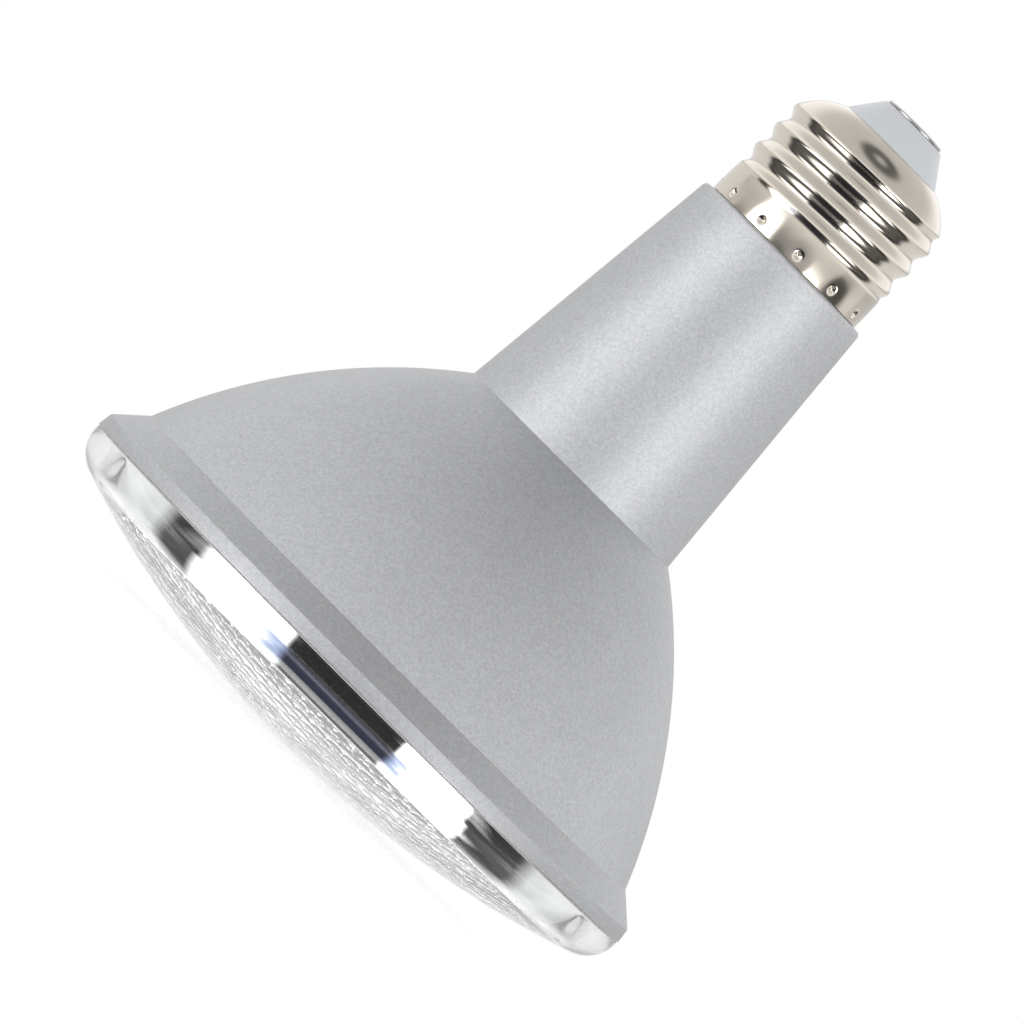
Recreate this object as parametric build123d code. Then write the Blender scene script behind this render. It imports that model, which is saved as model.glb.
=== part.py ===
from build123d import *
import math
import os

# An LED reflector lamp with a long neck and a medium screw cap.
# Sizes are in millimetres. Z is the lamp's axis, from the lens up to the cap contact.
# The apex of the lens dome is the origin.

# Housing: bowl, neck, collar and rim in one casting
RIM_DIAMETER = 95.0
RIM_HEIGHT = 2.0
RIM_EDGE = 0.4
COLLAR_HEIGHT = 3.5
COLLAR_STEP = 4.15
BOWL_HEIGHT = 33.4
BOWL_ARC = 78.25
NECK_ROOT_DIAMETER = 35.5
NECK_END_DIAMETER = 28.1
NECK_LENGTH = 38.8
NECK_EDGE = 0.6
HOUSING_WALL = 1.4

# Lens
LENS_SETBACK = 0.1
DOME_RADIUS = 138.0
LENS_CORNER = 5.0
LENS_INNER_CORNER = 4.2
LENS_EDGE = 0.3
LENS_WALL = 2.4
DOME_WALL = 1.8
LENS_SPIGOT_HEIGHT = 0.9
LENS_SPIGOT_CLEARANCE = 0.2

# Gasket between lens and rim
GASKET_THICKNESS = 0.2
GASKET_RECESS = 0.3

# Reflector cup
REFLECTOR_WALL = 1.0
REFLECTOR_ARC = 60.0
REFLECTOR_FOOT_HEIGHT = 2.5
REFLECTOR_FLANGE = 0.8
REFLECTOR_CLEARANCE = 0.3

# Screw shell
CAP_GAP = 0.15
SKIRT_DIAMETER = 25.8
SKIRT_HEIGHT = 4.5
THREAD_DIAMETER = 26.0
THREAD_DEPTH = 0.85
THREAD_RIDGE_WIDTH = 2.6
THREAD_RUN_IN = 0.6
SKIRT_STEP = 0.05
THREAD_PITCH = 25.4 / 7
THREAD_LENGTH = 10.55
THREAD_START_ANGLE = 204.0
SHOULDER_HEIGHT = 4.6
SHOULDER_ARC = 10.0
SHELL_MOUTH_DIAMETER = 16.0
SHELL_WALL = 0.35
DIMPLE_COUNT = 12
DIMPLE_DIAMETER = 1.1
DIMPLE_DEPTH = 0.25
DIMPLE_HEIGHT = 1.4
DIMPLE_START_ANGLE = 275.0

# Base insulator and centre contact
INSULATOR_CLEARANCE = 0.1
NOSE_HEIGHT = 4.15
NOSE_TOP_DIAMETER = 9.8
NOSE_EDGE = 0.8
INSULATOR_FLANGE_DIAMETER = 20.8
INSULATOR_FLANGE_EDGE = 1.0
CONTACT_DIAMETER = 9.2
CONTACT_THICKNESS = 0.6
CONTACT_EDGE = 0.25
SHANK_DIAMETER = 2.2
SHANK_TAIL = 1.0
SHANK_CLEARANCE = 0.1

# Heat spreader, insulating disc and thermal pad
SPREADER_THICKNESS = 3.0
SPREADER_CLEARANCE = 0.1
DISC_THICKNESS = 0.8
PAD_THICKNESS = 0.3

# LED board and its screws
LED_BOARD_THICKNESS = 1.6
LED_BOARD_MARGIN = 1.0
LED_RING_COUNT = 8
LED_SIZE = 3.0
LED_HEIGHT = 0.7
LED_MARGIN = 0.4
PHOSPHOR_SIZE = 2.2
PHOSPHOR_DEPTH = 0.3
PHOSPHOR_CLEARANCE = 0.05
SCREW_COUNT = 2
SCREW_CIRCLE_DIAMETER = 24.8
SCREW_DIAMETER = 2.3
SCREW_LENGTH = 10.0
SCREW_HEAD_DIAMETER = 4.0
SCREW_HEAD_HEIGHT = 1.5
SCREW_HEAD_EDGE = 0.5
SCREW_SLOT_WIDTH = 0.6
SCREW_SLOT_DEPTH = 0.7
SCREW_CLEARANCE = 0.1
SOLDER_DIAMETER = 2.0
SOLDER_HEIGHT = 0.7

# Driver sleeve
SLEEVE_CLEARANCE = 0.2
SLEEVE_WALL = 1.2
SLEEVE_SPIGOT_LENGTH = 4.1
SHELL_CLEARANCE = 0.1
BOSS_DIAMETER = 4.8
BOSS_BOTTOM = 1.5
RAIL_DEPTH = 1.6
RAIL_WIDTH = 4.0
RAIL_CLEARANCE = 0.1

# Driver board
DRIVER_BOARD_THICKNESS = 1.2
DRIVER_BOARD_OFFSET = 3.4
DRIVER_BOARD_END_GAP = 1.2
DRIVER_BOARD_EDGE_GAP = 0.2
PIN_SIZE = 0.6
PIN_TAIL = 1.0
PIN_HOLE_CLEARANCE = 0.1

# Parts on the driver board, in rows stacked from its foot
FOOT_GAP = 2.4
ROW_GAP = 1.6
SIDE_GAP = 3.0
OUTPUT_CAN_DIAMETER = 7.0
OUTPUT_CAN_HEIGHT = 11.5
INPUT_CAN_DIAMETER = 7.0
INPUT_CAN_HEIGHT = 11.0
CAN_EDGE = 0.6
CAN_CRIMP_HEIGHT = 1.8
CAN_CRIMP_DEPTH = 0.4
CAN_PIN_PITCH = 3.5
CHOKE_DIAMETER = 6.0
CHOKE_HEIGHT = 7.5
CHOKE_WAIST_DEPTH = 0.6
CHOKE_FLANGE = 1.0
CORE_LENGTH = 13.0
CORE_WIDTH = 10.4
CORE_THICKNESS = 5.0
CORE_LEG = 3.2
CORE_BACK = 2.4
CORE_SIDE = 1.6
BOBBIN_WALL = 0.5
BOBBIN_FLANGE = 0.6
BOBBIN_CLEARANCE = 0.1
BOBBIN_STAND = 0.6
WINDING_THICKNESS = 1.1
WINDING_EDGE = 0.8
FUSE_LENGTH = 7.6
FUSE_WIDTH = 4.0
FUSE_HEIGHT = 7.7
FUSE_EDGE = 0.4
FUSE_PIN_PITCH = 5.08

# Flat packages on the back of the driver board
BRIDGE_PACKAGE = dict(length=4.7, width=3.8, height=2.5, legs=2, pitch=2.5, leg_width=0.6, span=6.8)
CHIP_PACKAGE = dict(length=4.9, width=3.9, height=1.5, legs=4, pitch=1.27, leg_width=0.41, span=6.0)
DIODE_PACKAGE = dict(length=2.6, width=4.3, height=2.2, legs=1, pitch=0.0, leg_width=1.4, span=5.2)
PACKAGE_LEG_THICKNESS = 0.2

# Wires
WIRE_DIAMETER = 0.9
WIRE_HOLE_CLEARANCE = 0.3
LED_WIRE_LANDING = 2.1
LANDING_GAP = 0.8
WIRE_BEND = 1.0
LIVE_WIRE_END = 3.0
NEUTRAL_WIRE_DIAMETER = 0.7
NEUTRAL_WIRE_X = -7.0

# Heights along the axis, worked out from the lens upwards
BASE = (Align.CENTER, Align.CENTER, Align.MIN)
rim_radius = RIM_DIAMETER / 2
rim_bore = rim_radius - HOUSING_WALL
lens_radius = rim_radius - LENS_SETBACK
corner_radius = lens_radius - LENS_CORNER
corner_height = DOME_RADIUS - math.sqrt((DOME_RADIUS - LENS_CORNER) ** 2 - corner_radius**2)
joint_height = corner_height + LENS_EDGE
inner_corner_radius = lens_radius - LENS_WALL - LENS_INNER_CORNER
inner_dome_radius = DOME_RADIUS - DOME_WALL
inner_corner_height = DOME_RADIUS - math.sqrt(
    (inner_dome_radius - LENS_INNER_CORNER) ** 2 - inner_corner_radius**2
)
rim_bottom = joint_height + GASKET_THICKNESS
rim_top = rim_bottom + RIM_HEIGHT
mouth_height = rim_top + COLLAR_HEIGHT
mouth_radius = rim_radius - COLLAR_STEP
throat_height = mouth_height + BOWL_HEIGHT
throat_radius = NECK_ROOT_DIAMETER / 2
neck_end = throat_height + NECK_LENGTH
neck_end_radius = NECK_END_DIAMETER / 2
shell_bottom = neck_end + CAP_GAP
skirt_top = shell_bottom + SKIRT_HEIGHT
shoulder_bottom = skirt_top + THREAD_LENGTH
shell_top = shoulder_bottom + SHOULDER_HEIGHT
nose_top = shell_top + NOSE_HEIGHT

# Heights of the stack in the throat, worked out downwards and upwards from the spreader
spreader_top = throat_height - HOUSING_WALL
spreader_bottom = spreader_top - SPREADER_THICKNESS
led_board_top = spreader_bottom - PAD_THICKNESS
led_board_face = led_board_top - LED_BOARD_THICKNESS
sleeve_bottom = spreader_top + DISC_THICKNESS
spigot_top = neck_end + SLEEVE_SPIGOT_LENGTH

# Places on the LED board, from the screws inwards and outwards
screw_radius = SCREW_CIRCLE_DIAMETER / 2
led_board_radius = screw_radius + SCREW_HEAD_DIAMETER / 2 + LED_BOARD_MARGIN
foot_outer = screw_radius - SCREW_HEAD_DIAMETER / 2 - REFLECTOR_CLEARANCE
foot_inner = foot_outer - REFLECTOR_WALL
led_ring_radius = foot_inner - LED_SIZE / math.sqrt(2) - LED_MARGIN
led_lead_x = foot_outer + SOLDER_DIAMETER / 2 + REFLECTOR_CLEARANCE

# Places on the driver board, whose front face lies behind the axis
driver_front = -DRIVER_BOARD_OFFSET
driver_back = driver_front - DRIVER_BOARD_THICKNESS
driver_bottom = sleeve_bottom + DRIVER_BOARD_END_GAP
driver_top = neck_end - DRIVER_BOARD_END_GAP
output_row = driver_bottom + FOOT_GAP + OUTPUT_CAN_DIAMETER / 2
transformer_row = output_row + OUTPUT_CAN_DIAMETER / 2 + ROW_GAP + CORE_WIDTH / 2
input_row = transformer_row + CORE_WIDTH / 2 + ROW_GAP + FUSE_LENGTH / 2
landing_row = input_row + FUSE_LENGTH / 2 + LANDING_GAP
output_can_x = -(OUTPUT_CAN_DIAMETER + SIDE_GAP) / 2
choke_x = (CHOKE_DIAMETER + SIDE_GAP) / 2
input_can_x = (INPUT_CAN_DIAMETER - SIDE_GAP) / 2
fuse_x = input_can_x - (INPUT_CAN_DIAMETER + FUSE_WIDTH + SIDE_GAP) / 2
wire_y = driver_front + WIRE_DIAMETER / 2

# Radii of the cap
skirt_radius = SKIRT_DIAMETER / 2
skirt_bore = skirt_radius - SHELL_WALL
crest_radius = THREAD_DIAMETER / 2
root_radius = crest_radius - THREAD_DEPTH
shell_mouth = SHELL_MOUTH_DIAMETER / 2
spigot_radius = skirt_bore - SHELL_CLEARANCE
shank_hole = SHANK_DIAMETER / 2 + SHANK_CLEARANCE


# Helpers for turned outlines, drawn as (radius, height)
def turned(*edges):
    """Solid turned about the lamp's axis."""
    return revolve(Plane.XZ * make_face(list(edges)), Axis.Z)


def disc(radius, bottom, top):
    """Solid disc about the lamp's axis."""
    return Pos(0, 0, bottom) * Cylinder(radius, top - bottom, align=BASE)


def arc_centre(start, end, radius):
    """Centre, on the axis side, of an arc that bulges outwards on its way up from start to end."""
    chord = Vector(*end) - Vector(*start)
    inwards = Vector(-chord.Y, chord.X).normalized()
    return (Vector(*start) + Vector(*end)) / 2 + inwards * math.sqrt(radius**2 - chord.length**2 / 4)


def radius_on_arc(centre, radius, height):
    return centre.X + math.sqrt(radius**2 - (height - centre.Y) ** 2)


def height_on_arc(centre, radius, distance):
    return centre.Y + math.sqrt(radius**2 - (distance - centre.X) ** 2)


def arc_edge(centre, radius, start, end):
    """Edge of a circle between two of its points."""
    middle = (Vector(*start) + Vector(*end)) / 2 - centre
    return ThreePointArc(start, centre + middle.normalized() * radius, end)


bowl_centre = arc_centre((mouth_radius, mouth_height), (throat_radius, throat_height), BOWL_ARC)
shoulder_centre = arc_centre((crest_radius, shoulder_bottom), (shell_mouth, shell_top), SHOULDER_ARC)
neck_taper = (throat_radius - neck_end_radius) / NECK_LENGTH
collar_slope = COLLAR_HEIGHT / COLLAR_STEP


def bowl_radius(height, inset=0.0):
    return radius_on_arc(bowl_centre, BOWL_ARC - inset, height)


def neck_radius(height, inset=0.0):
    """Radius of the tapered neck, or of a surface set in from it, square to the wall."""
    return throat_radius - (height - throat_height) * neck_taper - inset * math.hypot(1, neck_taper)


def sleeve_radius(height, inset=0.0):
    return neck_radius(height, HOUSING_WALL + SLEEVE_CLEARANCE + inset)


def collar_height(radius, inset=0.0):
    """Height of the collar's cone, or of a surface set in from it, at a radius."""
    return rim_top + (rim_radius - radius) * collar_slope - inset * math.hypot(1, collar_slope)


def collar_radius(height, inset=0.0):
    return rim_radius - (height - rim_top + inset * math.hypot(1, collar_slope)) / collar_slope


def cone_about_axis(radius_at, bottom, top):
    """Solid cone between two heights, from a function that gives the radius at a height."""
    side = [(radius_at(bottom), bottom), (radius_at(top), top)]
    return turned(Polyline((0, bottom), *side, (0, top), close=True))


# Housing
def housing():
    mouth = (mouth_radius, mouth_height)
    throat = (throat_radius, throat_height)
    shell = turned(
        Polyline((0, rim_bottom), (rim_radius, rim_bottom), (rim_radius, rim_top), mouth),
        arc_edge(bowl_centre, BOWL_ARC, mouth, throat),
        Polyline(throat, (neck_end_radius, neck_end), (0, neck_end), (0, rim_bottom)),
    )
    rim_edges = shell.edges().filter_by_position(Axis.Z, rim_top, rim_top)
    shell = fillet(rim_edges, RIM_EDGE)
    shell = fillet(shell.edges().group_by(Axis.Z)[-1], NECK_EDGE)
    return shell - bowl_cavity() - collar_cavity() - neck_cavity()


def bowl_cavity():
    mouth = (bowl_radius(rim_bottom, HOUSING_WALL), rim_bottom)
    throat = (bowl_radius(throat_height, HOUSING_WALL), throat_height)
    return turned(
        Line((0, rim_bottom), mouth),
        arc_edge(bowl_centre, BOWL_ARC - HOUSING_WALL, mouth, throat),
        Polyline(throat, (0, throat_height), (0, rim_bottom)),
    )


def collar_cavity():
    """Room for the lens spigot and the reflector flange, inside the rim and the collar."""
    inner = mouth_radius - 2 * HOUSING_WALL
    return turned(
        Polyline(
            (0, rim_bottom),
            (rim_bore, rim_bottom),
            (rim_bore, collar_height(rim_bore, HOUSING_WALL)),
            (inner, collar_height(inner, HOUSING_WALL)),
            (0, collar_height(inner, HOUSING_WALL)),
            close=True,
        )
    )


def neck_cavity():
    return cone_about_axis(lambda height: neck_radius(height, HOUSING_WALL), spreader_top, neck_end)


# Lens and its gasket
def dome_edges(dome_radius, corner, centre):
    """Dome and rounded corner of the lens: two tangent arcs, and the point where the upright side begins."""
    reach = math.asin(centre[0] / (dome_radius - corner))
    dome = CenterArc((0, DOME_RADIUS), dome_radius, 270, math.degrees(reach))
    side = (centre[0] + corner, centre[1])
    return dome, TangentArc(dome @ 1, side, tangent=dome % 1), side


def lens():
    outer_centre = (corner_radius, corner_height)
    inner_centre = (inner_corner_radius, inner_corner_height)
    outer_dome, outer_corner, outer_side = dome_edges(DOME_RADIUS, LENS_CORNER, outer_centre)
    inner_dome, inner_corner, inner_side = dome_edges(inner_dome_radius, LENS_INNER_CORNER, inner_centre)
    spigot_outer = rim_bore - LENS_SPIGOT_CLEARANCE
    top = joint_height + LENS_SPIGOT_HEIGHT
    return turned(
        outer_dome,
        outer_corner,
        Polyline(
            outer_side,
            (lens_radius, joint_height),
            (spigot_outer, joint_height),
            (spigot_outer, top),
            (inner_side[0], top),
            inner_side,
        ),
        inner_corner,
        inner_dome,
        Line(inner_dome @ 0, outer_dome @ 0),
    )


def lens_gasket():
    outer = lens_radius - GASKET_RECESS
    return disc(outer, joint_height, rim_bottom) - disc(rim_bore, joint_height, rim_bottom)


# Reflector: foot on the LED board, cup, flange on the lens spigot, and a straight skirt inside the lens
def reflector():
    flange_bottom = joint_height + LENS_SPIGOT_HEIGHT
    flange_top = flange_bottom + REFLECTOR_FLANGE
    flange_radius = min(
        collar_radius(flange_top, HOUSING_WALL + REFLECTOR_CLEARANCE),
        rim_bore - REFLECTOR_CLEARANCE,
    )
    foot_bottom = led_board_face - REFLECTOR_FOOT_HEIGHT
    mouth_inner = mouth_radius - HOUSING_WALL
    cup_centre = arc_centre((mouth_inner, flange_bottom), (foot_inner, foot_bottom), REFLECTOR_ARC)
    outer_arc = REFLECTOR_ARC + REFLECTOR_WALL
    cup_mouth = (radius_on_arc(cup_centre, outer_arc, flange_top), flange_top)
    cup_throat = (foot_outer, height_on_arc(cup_centre, outer_arc, foot_outer))
    skirt_outer = mouth_inner + REFLECTOR_WALL
    skirt_drop = math.sqrt(
        (LENS_INNER_CORNER - REFLECTOR_CLEARANCE) ** 2 - (skirt_outer - inner_corner_radius) ** 2
    )
    skirt_bottom = inner_corner_height - skirt_drop
    foot = [(foot_inner, foot_bottom), (foot_inner, led_board_face), (foot_outer, led_board_face)]
    return turned(
        arc_edge(cup_centre, REFLECTOR_ARC, (mouth_inner, flange_bottom), foot[0]),
        Polyline(*foot, cup_throat),
        arc_edge(cup_centre, outer_arc, cup_throat, cup_mouth),
        Polyline(
            cup_mouth,
            (flange_radius, flange_top),
            (flange_radius, flange_bottom),
            (skirt_outer, flange_bottom),
            (skirt_outer, skirt_bottom),
            (mouth_inner, skirt_bottom),
            (mouth_inner, flange_bottom),
        ),
    )


# Stack in the throat: every plate has the same holes for the screws and the leads
def around(count, radius, start=90.0):
    """Points evenly spaced round the axis."""
    angles = [math.radians(start + 360 * index / count) for index in range(count)]
    return [(radius * math.cos(angle), radius * math.sin(angle)) for angle in angles]


screw_places = around(SCREW_COUNT, screw_radius)
led_lead_places = [(-led_lead_x, wire_y), (led_lead_x, wire_y)]


def drilled(plate, bottom, top):
    screw_hole = SCREW_DIAMETER / 2 + SCREW_CLEARANCE
    lead_hole = WIRE_DIAMETER / 2 + WIRE_HOLE_CLEARANCE
    for x, y in screw_places:
        plate -= Pos(x, y, 0) * disc(screw_hole, bottom, top)
    for x, y in led_lead_places:
        plate -= Pos(x, y, 0) * disc(lead_hole, bottom, top)
    return plate


def heat_spreader():
    inset = HOUSING_WALL + SPREADER_CLEARANCE
    lower = (bowl_radius(spreader_bottom, inset), spreader_bottom)
    upper = (bowl_radius(spreader_top, inset), spreader_top)
    plate = turned(
        Line((0, spreader_bottom), lower),
        arc_edge(bowl_centre, BOWL_ARC - inset, lower, upper),
        Polyline(upper, (0, spreader_top), (0, spreader_bottom)),
    )
    return drilled(plate, spreader_bottom, spreader_top)


def insulating_disc():
    plate = disc(sleeve_radius(sleeve_bottom), spreader_top, sleeve_bottom)
    return drilled(plate, spreader_top, sleeve_bottom)


def thermal_pad():
    plate = disc(led_board_radius, led_board_top, spreader_bottom)
    return drilled(plate, led_board_top, spreader_bottom)


def led_board():
    plate = disc(led_board_radius, led_board_face, led_board_top)
    return drilled(plate, led_board_face, led_board_top)


def board_screws():
    head = Cylinder(SCREW_HEAD_DIAMETER / 2, SCREW_HEAD_HEIGHT, align=BASE)
    head = chamfer(head.edges().group_by(Axis.Z)[-1], SCREW_HEAD_EDGE)
    for turn in (0, 90):
        slot = Box(SCREW_HEAD_DIAMETER / 2, SCREW_SLOT_WIDTH, SCREW_SLOT_DEPTH, align=BASE)
        head -= Pos(0, 0, SCREW_HEAD_HEIGHT - SCREW_SLOT_DEPTH) * Rot(0, 0, turn) * slot
    shank = Rot(180, 0, 0) * Cylinder(SCREW_DIAMETER / 2, SCREW_LENGTH, align=BASE)
    screw = Pos(0, 0, led_board_face) * Rot(180, 0, 0) * (head + shank)
    return Part() + [Pos(x, y, 0) * screw for x, y in screw_places]


# LED packages on the face of the board, each with a well for its phosphor
def led_places():
    ring = around(LED_RING_COUNT, led_ring_radius)
    return [Pos(0, 0, 0)] + [Pos(x, y, 0) * Rot(0, 0, math.degrees(math.atan2(y, x))) for x, y in ring]


def led_packages():
    well_size = PHOSPHOR_SIZE + 2 * PHOSPHOR_CLEARANCE
    well = Box(well_size, well_size, PHOSPHOR_DEPTH, align=BASE)
    package = Pos(0, 0, -LED_HEIGHT) * (Box(LED_SIZE, LED_SIZE, LED_HEIGHT, align=BASE) - well)
    return Part() + [Pos(0, 0, led_board_face) * place * package for place in led_places()]


def led_phosphors():
    fill = Pos(0, 0, -LED_HEIGHT) * Box(PHOSPHOR_SIZE, PHOSPHOR_SIZE, PHOSPHOR_DEPTH, align=BASE)
    return Part() + [Pos(0, 0, led_board_face) * place * fill for place in led_places()]


def solder_joints():
    """Solder drops over the ends of the leads, on the face of the board."""
    drop = Rot(180, 0, 0) * Cone(SOLDER_DIAMETER / 2, WIRE_DIAMETER / 2, SOLDER_HEIGHT, align=BASE)
    return Part() + [Pos(x, y, led_board_face) * drop for x, y in led_lead_places]


# Driver sleeve: a tapered liner with screw bosses, board rails and a spigot for the shell
def driver_sleeve():
    def sleeve_bore(height):
        return sleeve_radius(height, SLEEVE_WALL)

    outside = cone_about_axis(sleeve_radius, sleeve_bottom, neck_end)
    inside = cone_about_axis(sleeve_bore, sleeve_bottom, neck_end)
    sleeve = outside - inside + (outside & (screw_bosses() + board_rails(inside)))
    spigot = disc(spigot_radius, neck_end, spigot_top) - disc(sleeve_bore(neck_end), neck_end, spigot_top)
    sleeve += spigot
    sleeve -= driver_outline(RAIL_CLEARANCE)
    return sleeve - neutral_channel()


def screw_bosses():
    """Posts that the screws bite into, each with a web to the wall."""
    hole_top = led_board_face + SCREW_LENGTH + SCREW_CLEARANCE
    boss_top = hole_top + BOSS_BOTTOM
    web_size = (sleeve_radius(sleeve_bottom), BOSS_DIAMETER / 2, boss_top - sleeve_bottom)
    web = Box(*web_size, align=(Align.MIN, Align.CENTER, Align.MIN))
    bosses = Part()
    for index, (x, y) in enumerate(screw_places):
        post = Pos(x, y, 0) * disc(BOSS_DIAMETER / 2, sleeve_bottom, boss_top)
        post += Pos(x, y, sleeve_bottom) * Rot(0, 0, 90 + 360 * index / SCREW_COUNT) * web
        bosses += post - Pos(x, y, 0) * disc(SCREW_DIAMETER / 2 + SCREW_CLEARANCE, sleeve_bottom, hole_top)
    return bosses


def board_rails(inside):
    """Two rails that hold the edges of the driver board."""
    core = cone_about_axis(lambda z: sleeve_radius(z, SLEEVE_WALL + RAIL_DEPTH), sleeve_bottom, neck_end)
    middle = (driver_front + driver_back) / 2
    slab = Pos(0, middle, sleeve_bottom) * Box(NECK_ROOT_DIAMETER, RAIL_WIDTH, NECK_LENGTH, align=BASE)
    return (inside - core) & slab


def neutral_channel():
    """Slot in the spigot's end that the neutral lead passes through."""
    width = NEUTRAL_WIRE_DIAMETER + 2 * SHELL_CLEARANCE
    slot_bottom = neutral_height - width / 2
    slot = Box(spigot_radius, width, spigot_top - slot_bottom, align=(Align.MAX, Align.CENTER, Align.MIN))
    return Pos(0, 0, slot_bottom) * slot


# Driver board, tapered to follow the sleeve
def driver_half_width(height):
    bore = sleeve_radius(height, SLEEVE_WALL)
    return math.sqrt(bore**2 - driver_back**2) - DRIVER_BOARD_EDGE_GAP


def driver_outline(growth=0.0):
    """The board's own plate, or the slot that it slides in."""
    bottom = driver_half_width(driver_bottom) + growth
    top = driver_half_width(driver_top) + growth
    corners = [(-bottom, driver_bottom), (bottom, driver_bottom), (top, driver_top), (-top, driver_top)]
    face = Plane(origin=(0, driver_front + growth, 0), x_dir=(1, 0, 0), z_dir=(0, -1, 0))
    return extrude(face * make_face(Polyline(*corners, close=True)), DRIVER_BOARD_THICKNESS + 2 * growth)


def on_front(shape, x, height):
    """Set a part, drawn standing on XY, on the front of the driver board."""
    return Plane(origin=(x, driver_front, height), x_dir=(1, 0, 0), z_dir=(0, 1, 0)) * shape


def on_back(shape, x, height):
    return Plane(origin=(x, driver_back, height), x_dir=(1, 0, 0), z_dir=(0, -1, 0)) * shape


def pins(points):
    """Square pins that reach from inside a part down through the driver board."""
    depth = DRIVER_BOARD_THICKNESS + PIN_TAIL
    pin = Pos(0, 0, -depth) * Box(PIN_SIZE, PIN_SIZE, depth + PIN_SIZE, align=BASE)
    return Part() + [Pos(x, y, 0) * pin for x, y in points]


can_pins = [(-CAN_PIN_PITCH / 2, 0), (CAN_PIN_PITCH / 2, 0)]
fuse_pins = [(0, -FUSE_PIN_PITCH / 2), (0, FUSE_PIN_PITCH / 2)]
bobbin_flange_x = CORE_LENGTH / 2 - CORE_BACK - BOBBIN_CLEARANCE - BOBBIN_FLANGE / 2
bobbin_pins = [(x, y) for x in (-bobbin_flange_x, bobbin_flange_x) for y in (-CORE_LEG / 2, CORE_LEG / 2)]


def driver_board():
    hole_size = PIN_SIZE + 2 * PIN_HOLE_CLEARANCE
    hole = Pos(0, 0, -DRIVER_BOARD_THICKNESS) * Box(hole_size, hole_size, DRIVER_BOARD_THICKNESS, align=BASE)
    holes = Part()
    for places, x, height in (
        (can_pins, output_can_x, output_row),
        (can_pins, choke_x, output_row),
        (bobbin_pins, 0, transformer_row),
        (can_pins, input_can_x, input_row),
        (fuse_pins, fuse_x, input_row),
    ):
        for hole_x, hole_y in places:
            holes += on_front(Pos(hole_x, hole_y, 0) * hole, x, height)
    return driver_outline() - holes


# Parts on the front of the driver board
def can(diameter, height):
    """Electrolytic capacitor: a can with a crimp near its foot and a broken top edge."""
    radius = diameter / 2
    body = turned(
        Polyline(
            (0, 0),
            (radius, 0),
            (radius, CAN_CRIMP_HEIGHT - CAN_CRIMP_DEPTH),
            (radius - CAN_CRIMP_DEPTH, CAN_CRIMP_HEIGHT),
            (radius, CAN_CRIMP_HEIGHT + CAN_CRIMP_DEPTH),
            (radius, height - CAN_EDGE),
            (radius - CAN_EDGE, height),
            (0, height),
            close=True,
        )
    )
    return body + pins(can_pins)


def input_capacitor():
    return on_front(can(INPUT_CAN_DIAMETER, INPUT_CAN_HEIGHT), input_can_x, input_row)


def output_capacitor():
    return on_front(can(OUTPUT_CAN_DIAMETER, OUTPUT_CAN_HEIGHT), output_can_x, output_row)


def input_choke():
    radius = CHOKE_DIAMETER / 2
    waist = radius - CHOKE_WAIST_DEPTH
    body = turned(
        Polyline(
            (0, 0),
            (radius, 0),
            (radius, CHOKE_FLANGE),
            (waist, CHOKE_FLANGE + CHOKE_WAIST_DEPTH),
            (waist, CHOKE_HEIGHT - CHOKE_FLANGE - CHOKE_WAIST_DEPTH),
            (radius, CHOKE_HEIGHT - CHOKE_FLANGE),
            (radius, CHOKE_HEIGHT),
            (0, CHOKE_HEIGHT),
            close=True,
        )
    )
    return on_front(body + pins(can_pins), choke_x, output_row)


tube_gap = 2 * BOBBIN_CLEARANCE
tube_wall = tube_gap + 2 * BOBBIN_WALL
coil_wall = tube_wall + 2 * WINDING_THICKNESS
bobbin_span = CORE_LENGTH - 2 * CORE_BACK - 2 * BOBBIN_CLEARANCE
bobbin_middle = BOBBIN_STAND + (CORE_THICKNESS + coil_wall) / 2


def leg_block(length, growth):
    """Block round the core's middle leg, larger than the leg by a growth."""
    return Box(length, CORE_LEG + growth, CORE_THICKNESS + growth)


def transformer_core():
    block = Box(CORE_LENGTH, CORE_WIDTH, CORE_THICKNESS)
    window = Box(CORE_LENGTH - 2 * CORE_BACK, CORE_WIDTH - 2 * CORE_SIDE, CORE_THICKNESS)
    core = block - (window - leg_block(CORE_LENGTH, 0))
    return on_front(Pos(0, 0, bobbin_middle) * core, 0, transformer_row)


def transformer_bobbin():
    tube = leg_block(bobbin_span, tube_wall)
    foot_size = (BOBBIN_FLANGE, CORE_LEG + coil_wall, bobbin_middle)
    foot = Box(*foot_size, align=(Align.CENTER, Align.CENTER, Align.MAX))
    flange = leg_block(BOBBIN_FLANGE, coil_wall) + foot
    bobbin = tube + Pos(-bobbin_flange_x, 0, 0) * flange + Pos(bobbin_flange_x, 0, 0) * flange
    bobbin -= leg_block(CORE_LENGTH, tube_gap)
    return on_front(Pos(0, 0, bobbin_middle) * bobbin + pins(bobbin_pins), 0, transformer_row)


def transformer_winding():
    coil = leg_block(bobbin_span - 2 * BOBBIN_FLANGE, coil_wall)
    coil = fillet(coil.edges().filter_by(Axis.X), WINDING_EDGE) - leg_block(CORE_LENGTH, tube_wall)
    return on_front(Pos(0, 0, bobbin_middle) * coil, 0, transformer_row)


def fuse():
    block = Box(FUSE_WIDTH, FUSE_LENGTH, FUSE_HEIGHT, align=BASE)
    block = chamfer(block.edges().group_by(Axis.Z)[-1], FUSE_EDGE)
    return on_front(block + pins(fuse_pins), fuse_x, input_row)


# Flat packages on the back of the driver board
def flat_package(length, width, height, legs, pitch, leg_width, span):
    """Moulded body with a row of flat legs along each side."""
    stand = PACKAGE_LEG_THICKNESS / 2
    body = Pos(0, 0, stand) * Box(length, width, height - stand, align=BASE)
    body = chamfer(body.edges().group_by(Axis.Z)[-1], PACKAGE_LEG_THICKNESS)
    for index in range(legs):
        x = (index - (legs - 1) / 2) * pitch
        body += Pos(x, 0, 0) * Box(leg_width, span, PACKAGE_LEG_THICKNESS, align=BASE)
    return body


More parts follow.
